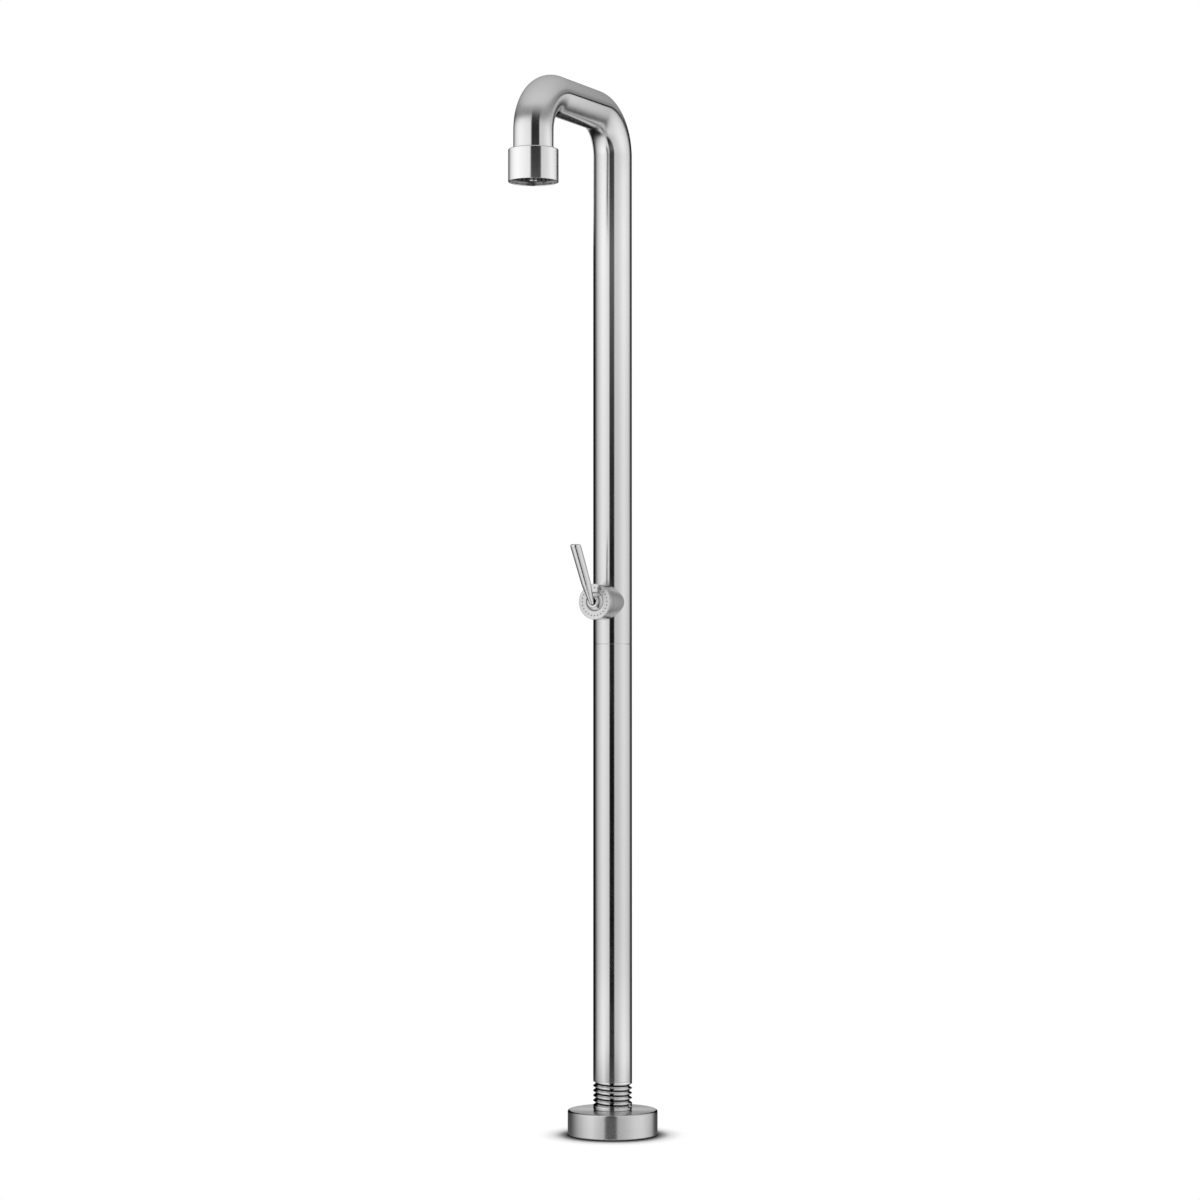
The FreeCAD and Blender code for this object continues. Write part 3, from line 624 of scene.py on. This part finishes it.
@dataclass
class ThreadedNeck(SubAssembly):
    """The neck with its coarse thread, between the base and the post."""

    smooth: float = 0.1
    dull: float = 0.14
    anisotropy: float = 0.8
    # Painted shade in the bottom of the thread's groove: how far out it reaches, and its grey.
    groove_root_radius: float = 0.0369
    groove_shade_grey: float = 0.05

    def make_finishes(self) -> None:
        """Builds the neck's polish, with painted shade in the bottom of the thread's groove."""
        # Painted shade: the bottom of the thread's groove is darkened where shade falls.
        groove = Shade(self.groove_shade_grey, outer=self.groove_root_radius)
        self.finishes.add(MetalFinish("neck_polish", STEEL, smooth=self.smooth, dull=self.dull,
                                      anisotropy=self.anisotropy, shades=(groove,)))

    def dress(self) -> None:
        """Dresses the neck and its seal."""
        self.wear("neck_polish", "threaded_neck")
        self.wear("seal_rubber", "neck_o_ring")


@dataclass
class PostTubes(SubAssembly):
    """The straight lower tube and the cane-shaped upper tube with its arm and spout."""

    radius: float = 0.042
    wall: float = 0.002
    end_bevel: float = 0.00095
    bend_radius: float = 0.09
    arm_height: float = 2.208
    spout_reach: float = SPOUT_REACH
    sides: int = 128
    bend_steps: int = 40
    bevel_segments: int = 4
    bevel_above_degrees: float = 60.0
    smooth_below_degrees: float = 40.0
    merge_distance: float = 1e-6

    @property
    def bend_height(self) -> float:
        """Height at which the post starts to bend."""
        return self.arm_height - self.bend_radius

    def make_finishes(self) -> None:
        """Builds the satin that follows the bent tube."""
        self.finishes.add(MetalFinish("tube_satin", STEEL, Turning.TUBE))

    def dress(self) -> None:
        """Dresses the sleeve that lines up the two tubes."""
        self.wear("plain_steel", "post_coupler")

    def build(self) -> None:
        """Models both tubes in place of their CAD nodes."""
        low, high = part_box("lower_post_tube")
        lower = self.straight_tube("post_lower_tube", low.z, high.z)
        self.add_piece(lower, "tube_satin", "post_steel", "lower_post_tube")
        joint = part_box("upper_post_tube")[0].z
        spout_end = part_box("spout_plug")[0].z
        cane = self.cane_tube("post_cane_tube", joint, spout_end)
        self.add_piece(cane, "tube_satin", "post_steel", "upper_post_tube")

    def start_ring(self, name: str, height: float) -> bpy.types.Object:
        """Adds an open ring round the post's axis and opens it for editing.

        Args:
            name: The new piece's name.
            height: The ring's height.

        Returns:
            The new piece, in edit mode with its ring selected.
        """
        deselect_all()
        bpy.ops.mesh.primitive_circle_add(vertices=self.sides, radius=self.radius,
                                          location=(0.0, 0.0, height))
        piece = name_active(name)
        bpy.ops.object.mode_set(mode="EDIT")
        bpy.ops.mesh.select_all(action="SELECT")
        return piece

    @staticmethod
    def extrude(step: tuple[float, float, float]) -> None:
        """Draws the selected ring out by a step."""
        bpy.ops.mesh.extrude_region_move(TRANSFORM_OT_translate={"value": step})

    def bend(self, centre: tuple[float, float, float]) -> None:
        """Turns the selected ring a quarter turn about a line along X."""
        bpy.ops.mesh.spin(steps=self.bend_steps, angle=math.pi / 2, center=centre,
                          axis=(-1.0, 0.0, 0.0))

    def straight_tube(self, name: str, bottom: float, top: float) -> bpy.types.Object:
        """A straight tube with softly broken ends.

        Args:
            name: The piece's name.
            bottom: Height of its lower end.
            top: Height of its upper end.

        Returns:
            The finished tube.
        """
        piece = self.start_ring(name, bottom)
        self.extrude((0.0, 0.0, top - bottom))
        return self.close(piece)

    def cane_tube(self, name: str, bottom: float, spout_end: float) -> bpy.types.Object:
        """The upper post, arm and spout in one bent tube.

        Args:
            name: The piece's name.
            bottom: Height of the joint with the lower tube.
            spout_end: Height of the spout's open end.

        Returns:
            The finished tube.
        """
        piece = self.start_ring(name, bottom)
        self.extrude((0.0, 0.0, self.bend_height - bottom))
        self.bend((0.0, -self.bend_radius, self.bend_height))
        self.extrude((0.0, 2 * self.bend_radius - self.spout_reach, 0.0))
        self.bend((0.0, self.bend_radius - self.spout_reach, self.bend_height))
        self.extrude((0.0, 0.0, spout_end - self.bend_height))
        return self.close(piece)

    def close(self, piece: bpy.types.Object) -> bpy.types.Object:
        """Gives an open shell its wall, bevelled ends and surface coordinates.

        Args:
            piece: The shell, still in edit mode.

        Returns:
            The finished tube.
        """
        bpy.ops.mesh.select_all(action="SELECT")
        bpy.ops.mesh.remove_doubles(threshold=self.merge_distance)
        bpy.ops.mesh.normals_make_consistent(inside=False)
        bpy.ops.object.mode_set(mode="OBJECT")
        inwards = piece.modifiers.new("wall", "SOLIDIFY")
        inwards.thickness = self.wall
        inwards.offset = -1.0
        edge = piece.modifiers.new("ends", "BEVEL")
        edge.width = self.end_bevel
        edge.segments = self.bevel_segments
        edge.limit_method = "ANGLE"
        edge.angle_limit = math.radians(self.bevel_above_degrees)
        apply_modifiers(piece)
        settle(piece)
        bpy.ops.object.shade_smooth_by_angle(angle=math.radians(self.smooth_below_degrees))
        self.lay_coordinates(piece.data)
        return piece

    def along_cane(self, point: Vector) -> tuple[float, float]:
        """Where a point lies on the cane.

        Args:
            point: A point on or near the tube's wall.

        Returns:
            The distance along the centreline, and the offset from it towards the bends' outside.
        """
        first = Vector((-self.bend_radius, self.bend_height))
        second = Vector((self.bend_radius - self.spout_reach, self.bend_height))
        quarter = self.bend_radius * math.pi / 2
        arm = self.spout_reach - 2 * self.bend_radius
        spot = Vector((point.y, point.z))
        if spot.y <= self.bend_height:
            if spot.x > -self.spout_reach / 2:
                return point.z, point.y
            after_bends = self.bend_height + 2 * quarter + arm
            return after_bends + self.bend_height - point.z, -point.y - self.spout_reach
        if spot.x > first.x:
            offset = spot - first
            angle = math.atan2(offset.y, offset.x)
            return self.bend_height + self.bend_radius * angle, offset.length - self.bend_radius
        if spot.x > second.x:
            return self.bend_height + quarter + first.x - spot.x, point.z - self.arm_height
        offset = spot - second
        angle = math.atan2(-offset.x, offset.y)
        along = self.bend_height + quarter + arm + self.bend_radius * angle
        return along, offset.length - self.bend_radius

    def lay_coordinates(self, mesh: bpy.types.Mesh) -> None:
        """Stores, at each point, its place on the tube as if the tube were straight.

        Args:
            mesh: The tube's mesh, at the origin.
        """
        lay = mesh.attributes.new(TUBE_LAY, "FLOAT_VECTOR", "POINT")
        turns = []
        for vertex in mesh.vertices:
            along, outward = self.along_cane(vertex.co)
            lay.data[vertex.index].vector = (vertex.co.x, outward, along)
            turns.append((math.atan2(outward, vertex.co.x) / (2 * math.pi), along))
        layer = mesh.uv_layers.new(name=TUBE_UV)
        for polygon in mesh.polygons:
            lowest = min(turns[index][0] for index in polygon.vertices)
            for loop in polygon.loop_indices:
                turn, along = turns[mesh.loops[loop].vertex_index]
                across_seam = turn - lowest > 0.5
                layer.data[loop].uv = (turn - 1.0 if across_seam else turn, along)


@dataclass
class Mixer(SubAssembly):
    """The joystick mixer: boss, cap with its dial dots, hub and lever, and the cartridge inside.

    The end of the boss and the faces of cap and hub are given as distances out from the post's axis.
    """

    boss_end: float = 0.0678
    cap_face: float = 0.083
    hub_face: float = 0.093
    boss_gap_depth: float = 0.001
    dot_circle: float = 0.03
    dot_band: float = 0.00195
    face_skin: float = 0.0002
    opening_radius: float = 0.0207
    hub_hollow_radius: float = 0.0087
    hub_hollow_depth: float = 0.0055
    boss_grey: float = 0.62
    cap_grey: float = 0.7
    # Painted shade: the first grey darkens the dial dots' dents and the cap's opening, the second the
    # gap at the boss's end and the hub's hollow.
    recess_shade_grey: float = 0.02
    shadow_grey: float = 0.05

    def make_finishes(self) -> None:
        """Builds the boss's satin with painted shade at its end, the turned cap with painted shade in
        its dial dots and its opening, and two polishes, the hub's with painted shade in its hollow.
        """
        add = self.finishes.add
        # Painted shade in the gap at the boss's end, next to the cap.
        boss_gap = Shade(self.shadow_grey, low=self.boss_end - self.boss_gap_depth)
        # Painted shade in the dial dots' dents and in the cap's opening round the hub.
        dots = Shade(self.recess_shade_grey, inner=self.dot_circle - self.dot_band,
                     outer=self.dot_circle + self.dot_band, high=self.cap_face - self.face_skin)
        opening = Shade(self.recess_shade_grey, outer=self.opening_radius)
        # Painted shade in the hub's hollow round the lever's root.
        hollow = Shade(self.shadow_grey, outer=self.hub_hollow_radius,
                       low=self.hub_face - self.hub_hollow_depth)
        add(MetalFinish("boss_satin", grey(self.boss_grey), Turning.MIXER, smooth=0.2, dull=0.26,
                        shades=(boss_gap,)))
        add(MetalFinish("cap_turned", grey(self.cap_grey), Turning.MIXER, smooth=0.2, dull=0.26,
                        line_density=900.0, line_depth=0.00002, line_shade=0.85,
                        shades=(dots, opening)))
        add(MetalFinish("hub_polish", STEEL, Turning.MIXER, smooth=0.16, dull=0.2,
                        shades=(hollow,)))
        add(MetalFinish("lever_polish", STEEL, Turning.LEVER, anisotropy=0.0))

    def dress(self) -> None:
        """Dresses the mixer, outside and inside."""
        self.wear("boss_satin", "mixer_boss")
        self.wear("cap_turned", "mixer_cap")
        self.wear("hub_polish", "lever_hub")
        self.wear("lever_polish", "lever_handle")
        self.wear("plain_steel", "lever_grub_screw", "lever_stem", "tilt_pin", "mixer_mount_ring",
                  "mixer_screws")
        self.wear("white_acetal", "dome_seat", "cartridge_rotor", "cartridge_body")
        self.wear("seal_rubber", "cap_o_ring", "cartridge_seals")
        self.wear("machined_brass", "cartridge_nut", "mixer_body")


@dataclass
class Pipework(SubAssembly):
    """The two supply pipes, the riser, their nuts and spacers, and the connections in the base."""

    pipe_grey: float = 0.6

    def make_finishes(self) -> None:
        """Builds the pipes' drawn steel."""
        self.finishes.add(MetalFinish("drawn_pipe", grey(self.pipe_grey), smooth=0.25, dull=0.35,
                                      anisotropy=0.0))

    def dress(self) -> None:
        """Dresses the pipes and their fittings."""
        self.wear("drawn_pipe", "cold_supply_pipe", "hot_supply_pipe", "riser_pipe")
        self.wear("machined_brass", "supply_nuts", "riser_nut", "spout_nut", "cold_inlet_fitting",
                  "hot_inlet_fitting")
        self.wear("black_nylon", "supply_spacers", "riser_spacers", "check_valves")


@dataclass
class SprayHead(SubAssembly):
    """The spray head: its sleeve, the face painted dark as shade, with its nozzles, and the parts behind
    it.
    """

    # Painted shade in the sleeve's bore: the bore's radius, the height it starts at, and its grey.
    bore_radius: float = 0.0508
    bore_shade_from: float = 2.0195
    sleeve_grey: float = 0.8
    bore_shade_grey: float = 0.03
    # Painted shade: the face's steel is made nearly black.
    face_shade_grey: float = 0.06
    jet_grey: float = 0.6

    def make_finishes(self) -> None:
        """Builds the sleeve's satin with painted shade in its bore above the face, the face's steel
        painted dark as shade, and the other finishes.
        """
        add = self.finishes.add
        # Painted shade in the sleeve's bore above the face.
        bore = Shade(self.bore_shade_grey, outer=self.bore_radius, low=self.bore_shade_from)
        add(MetalFinish("head_satin", grey(self.sleeve_grey), Turning.HEAD, shades=(bore,)))
        # Painted shade: the face's steel is made nearly black.
        add(MetalFinish("face_steel_shade", grey(self.face_shade_grey), Turning.HEAD, smooth=0.35, dull=0.42))
        add(MetalFinish("jet_polish", grey(self.jet_grey), Turning.HEAD, smooth=0.18, dull=0.24))
        add(MouldedFinish("nozzle_silicone", (0.02, 0.02, 0.021), roughness=0.5))

    def dress(self) -> None:
        """Dresses the head."""
        self.wear("head_satin", "head_sleeve")
        self.wear("face_steel_shade", "spray_face")
        self.wear("jet_polish", "centre_jet")
        self.wear("nozzle_silicone", "nozzle_mat")
        self.wear("plain_steel", "jet_nut", "snap_ring")
        self.wear("machined_brass", "head_body", "spout_plug")
        self.wear("black_nylon", "flow_regulator")


# Studio ---------------------------------------------------------------------------------------
@dataclass(frozen=True)
class WallLight:
    """One light of the tent's wall: its level runs round the tent and up it.

    Each stop is a place and the level there: degrees from the camera's side towards its right for
    the round ones, metres above the floor for the rising ones.
    """

    round_stops: Stops
    rising_stops: Stops


SOFT_SIDES = WallLight(
    round_stops=(
        (-140, 0.0), (-126, 0.03), (-114, 0.2), (-104, 0.46), (-94, 0.66), (-84, 0.8),
        (-70, 0.97), (-54, 1.06), (-38, 0.96), (-20, 0.84), (-17, 0.0), (9, 0.0),
        (12, 0.68), (30, 0.72), (45, 0.82), (62, 0.95), (78, 0.95), (92, 0.85), (108, 0.78),
        (118, 0.5), (128, 0.12), (138, 0.0),
    ),
    rising_stops=(
        (-0.03, 1.3), (0.1, 1.12), (0.26, 0.93), (1.0, 0.99), (1.5, 1.02), (1.95, 1.18),
        (2.36, 1.2),
    ),
)
CAMERA_SLIT = WallLight(
    round_stops=((-20, 0.0), (-17, 1.0), (9, 1.0), (12, 0.0)),
    rising_stops=(
        (0.9, 0.008), (1.3, 0.02), (1.4, 0.032), (1.7, 0.07), (1.95, 0.17), (2.06, 0.18),
        (2.09, 0.015), (2.36, 0.01),
    ),
)
LOW_BACK = WallLight(
    round_stops=((-180, 1.0), (-173, 0.8), (-166, 0.0), (166, 0.0), (173, 0.8), (180, 1.0)),
    rising_stops=((0.3, 0.7), (0.6, 0.45), (1.4, 0.35), (1.7, 0.0)),
)
HIGH_BACK = WallLight(
    round_stops=((-176, 0.0), (-170, 1.0), (-146, 1.0), (-138, 0.0)),
    rising_stops=((2.02, 0.0), (2.12, 0.75), (2.36, 0.75)),
)
SKIRT_STOPS = (
    (-180, 0.12), (-130, 0.14), (-106, 0.27), (-90, 0.45), (-77, 0.6), (-53, 0.86),
    (-36, 0.5), (-22, 0.36), (-18, 0.04), (8, 0.04), (11, 0.26), (30, 0.5), (52, 0.84),
    (76, 0.92), (90, 0.76), (105, 0.55), (119, 0.3), (130, 0.12), (180, 0.12),
)
# Painted shadow on the floor: the grey shown to the camera for each ambient occlusion value.
FLOOR_SHADOW_STOPS = (
    (0.0, 0.0), (0.45, 0.015), (0.55, 0.045), (0.6, 0.09), (0.65, 0.18), (0.7, 0.29),
    (0.735, 0.41), (0.77, 0.52), (0.81, 0.72), (0.88, 0.84), (0.93, 0.95), (0.98, 1.0),
)


@dataclass
class Studio:
    """The light tent with its camera slit, the pale floor and the white background.

    The ceiling and the ground each have a level on the camera's side and one at the back.
    """

    camera_azimuth: float = CAMERA_AZIMUTH
    wall_lights: tuple[WallLight, ...] = (SOFT_SIDES, CAMERA_SLIT, LOW_BACK, HIGH_BACK)
    round_sides: int = 96
    tent_radius: float = 0.76
    tent_bottom: float = -0.3
    skirt_top: float = -0.05
    skirt_blend: float = 0.02
    wall_top: float = 2.36
    seam_top: float = 2.43
    seam_blend: float = 0.01
    crown_levels: tuple[float, float] = (0.3, 0.35)
    ceiling_height: float = 2.6
    ceiling_levels: tuple[float, float] = (0.85, 0.28)
    ground_levels: tuple[float, float] = (0.9, 0.0)
    floor_radius: float = 6.0
    floor_drop: float = 0.0003
    floor_grey: float = 0.8
    shadow_reach: float = 0.07
    shadow_samples: int = 16

    def build(self) -> None:
        """Sets up the background, the tent and the floor."""
        self.background()
        self.wall()
        self.disc("tent_ceiling", self.ceiling_height, self.ceiling_levels)
        self.disc("tent_ground", self.tent_bottom, self.ground_levels)
        self.floor()

    def background(self) -> None:
        """White behind the part, for the camera, for gloss and through glass."""
        world = bpy.data.worlds.new("white_background")
        world.use_nodes = True
        world.node_tree.nodes.clear()
        sheet = Sheet(world.node_tree)
        path = sheet.add("ShaderNodeLightPath").outputs
        seen = sheet.math("MAXIMUM", path["Is Camera Ray"], path["Is Glossy Ray"])
        seen = sheet.math("MAXIMUM", seen, path["Is Transmission Ray"])
        white = sheet.add("ShaderNodeBackground", {"Color": opaque(grey(1.0)), "Strength": seen})
        sheet.add("ShaderNodeOutputWorld", {"Surface": white.outputs[0]})
        bpy.context.scene.world = world

    def hide_from(self, piece: bpy.types.Object, *rays: str) -> None:
        """Makes a stage object unseen by some kinds of ray."""
        for ray in rays:
            setattr(piece, "visible_" + ray, False)

    def tent_frame(self, piece: bpy.types.Object) -> None:
        """Turns a tent piece so that its own X points at the camera, and hides it from view.

        Args:
            piece: The tent piece, at the origin.
        """
        piece.rotation_euler.z = math.radians(self.camera_azimuth - 90.0)
        self.hide_from(piece, "camera", "shadow", "transmission")

    def wall(self) -> None:
        """The tent's round wall: bright soft sides, a dim slit for the camera and a dim back."""
        deselect_all()
        depth = self.ceiling_height - self.tent_bottom
        bpy.ops.mesh.primitive_cylinder_add(
            vertices=self.round_sides, radius=self.tent_radius, depth=depth,
            end_fill_type="NOTHING", location=(0.0, 0.0, self.tent_bottom + depth / 2))
        piece = name_active("tent_wall")
        settle(piece)
        self.tent_frame(piece)
        material, sheet = new_material("tent_wall_glow")
        x, y, z = sheet.split(sheet.object_place())
        turn = sheet.math("ADD", sheet.math("DIVIDE", sheet.math("ARCTAN2", y, x), 2 * math.pi), 0.5)
        height = sheet.add("ShaderNodeMapRange", {
            "Value": z, "From Min": self.tent_bottom, "From Max": self.ceiling_height,
        }).outputs[0]
        self.glow(piece, material, sheet, self.wall_level(sheet, turn, height))

    def wall_level(self, sheet: Sheet, turn: Source, height: Source) -> bpy.types.NodeSocket:
        """The wall's light: the skirt below the floor, the wall lights over it, the seam, the crown.

        Args:
            sheet: The material's sheet.
            turn: The angle as a share of a whole turn, 0.5 at the camera's side.
            height: The height as a share of the tent's own.

        Returns:
            The level's socket.
        """
        above = 0.0
        for light in self.wall_lights:
            lit = sheet.math("MULTIPLY", self.around(sheet, turn, light.round_stops),
                             self.upwards(sheet, height, light.rising_stops))
            above = sheet.math("ADD", above, lit)
        skirt = self.around(sheet, turn, SKIRT_STOPS)
        low = self.upwards(sheet, height, (
            (self.skirt_top, 1.0), (self.skirt_top + self.skirt_blend, 0.0),
        ))
        under_seam = self.upwards(sheet, height, (
            (self.wall_top - self.seam_blend, 1.0), (self.wall_top, 0.0),
        ))
        crown_low, crown_high = self.crown_levels
        crown = self.upwards(sheet, height, (
            (self.seam_top, 0.0), (self.seam_top + self.seam_blend, crown_low),
            (self.ceiling_height, crown_high),
        ))
        wall = sheet.mix(Mixed.NUMBER, low, above, skirt)
        return sheet.math("ADD", sheet.math("MULTIPLY", wall, under_seam), crown)

    @staticmethod
    def around(sheet: Sheet, turn: Source, stops: Stops) -> bpy.types.NodeSocket:
        """Levels round the tent, by the angle from the camera's side towards its right.

        Args:
            sheet: The material's sheet.
            turn: The angle as a share of a whole turn, 0.5 at the camera's side.
            stops: Angle in degrees and level of each stop.

        Returns:
            The ramp's colour socket.
        """
        return sheet.ramp(turn, tuple((degrees / 360 + 0.5, level) for degrees, level in stops))

    def upwards(self, sheet: Sheet, height: Source, stops: Stops) -> bpy.types.NodeSocket:
        """Levels up the tent, by height.

        Args:
            sheet: The material's sheet.
            height: The height as a share of the tent's own.
            stops: Height in metres and level of each stop.

        Returns:
            The ramp's colour socket.
        """
        span = self.ceiling_height - self.tent_bottom
        shares = tuple(((z - self.tent_bottom) / span, level) for z, level in stops)
        return sheet.ramp(height, shares)

    @staticmethod
    def glow(piece: bpy.types.Object, material: bpy.types.Material, sheet: Sheet,
             level: bpy.types.NodeSocket) -> None:
        """Ends a tent material with its light and puts it on the piece.

        Args:
            piece: The tent piece.
            material: Its material.
            sheet: The material's sheet.
            level: The light's level.
        """
        light = sheet.add("ShaderNodeEmission", {"Strength": level})
        sheet.add("ShaderNodeOutputMaterial", {"Surface": light.outputs[0]})
        piece.data.materials.append(material)

    def disc(self, name: str, height: float, levels: tuple[float, float]) -> None:
        """A round cloth across the tent, evenly graded from the camera's side to the back.

        Args:
            name: The piece's name.
            height: Its height.
            levels: Its level on the camera's side and at the back.
        """
        front, rear = levels
        deselect_all()
        bpy.ops.mesh.primitive_circle_add(
            vertices=self.round_sides, radius=self.tent_radius, fill_type="NGON",
            location=(0.0, 0.0, height))
        piece = name_active(name)
        settle(piece)
        self.tent_frame(piece)
        material, sheet = new_material(name + "_glow")
        towards_camera = sheet.split(sheet.object_place())[0]
        level = sheet.add("ShaderNodeMapRange", {
            "Value": towards_camera, "From Min": -self.tent_radius, "From Max": self.tent_radius,
            "To Min": rear, "To Max": front,
        })
        self.glow(piece, material, sheet, level.outputs[0])

    def floor(self) -> None:
        """A pale floor that shows white, with a painted soft shadow at the foot of the base: ambient
        occlusion darkens the white the camera sees.
        """
        deselect_all()
        bpy.ops.mesh.primitive_circle_add(
            vertices=self.round_sides, radius=self.floor_radius, fill_type="NGON",
            location=(0.0, 0.0, -self.floor_drop))
        piece = name_active("pale_floor")
        self.hide_from(piece, "glossy")
        material, sheet = new_material("pale_floor_paint")
        # Painted shadow: ambient occlusion darkens the white the camera sees at the foot of the base.
        near = sheet.add("ShaderNodeAmbientOcclusion", {"Distance": self.shadow_reach},
                         samples=self.shadow_samples)
        painted_shadow = sheet.ramp(near.outputs["AO"], FLOOR_SHADOW_STOPS)
        white = sheet.add("ShaderNodeEmission", {"Color": painted_shadow, "Strength": 1.0})
        paint = sheet.add("ShaderNodeBsdfDiffuse", {"Color": opaque(grey(self.floor_grey))})
        camera = sheet.add("ShaderNodeLightPath").outputs["Is Camera Ray"]
        both = sheet.add("ShaderNodeMixShader", {0: camera, 1: paint.outputs[0], 2: white.outputs[0]})
        sheet.add("ShaderNodeOutputMaterial", {"Surface": both.outputs[0]})
        piece.data.materials.append(material)


@dataclass
class ProductCamera:
    """The photograph's view: a long lens a little to the right of the part, slightly upwards."""

    azimuth: float = CAMERA_AZIMUTH
    distance: float = 6.507
    height: float = 0.955
    turn_left: float = 0.24
    pitch_up: float = 1.75
    lens: float = 90.03
    sensor: float = 36.0
    far_limit: float = 50.0

    def build(self) -> None:
        """Creates the camera and makes it the scene's own."""
        lens = bpy.data.cameras.new("product_camera")
        lens.lens = self.lens
        lens.sensor_width = self.sensor
        lens.clip_end = self.far_limit
        camera = bpy.data.objects.new("product_camera", lens)
        bpy.context.scene.collection.objects.link(camera)
        side = math.radians(self.azimuth)
        place = Vector((math.sin(side), -math.cos(side), 0.0)) * self.distance
        place.z = self.height
        heading = side + math.radians(self.turn_left)
        turned = Matrix.Rotation(heading, 4, "Z")
        tipped = Matrix.Rotation(math.radians(90.0 + self.pitch_up), 4, "X")
        camera.matrix_world = Matrix.Translation(place) @ turned @ tipped
        bpy.context.scene.camera = camera


def main() -> None:
    """Builds the studio, the camera and the part, in that order."""
    logging.basicConfig(level=logging.INFO, format="%(message)s")
    bpy.context.scene.view_settings.view_transform = "Standard"
    Studio().build()
    ProductCamera().build()
    finishes = FinishBook()
    for kind in (Base, ThreadedNeck, PostTubes, Mixer, Pipework, SprayHead):
        group = kind(finishes)
        group.make_finishes()
        group.build()
        group.dress()


if __name__ == "__main__":
    main()
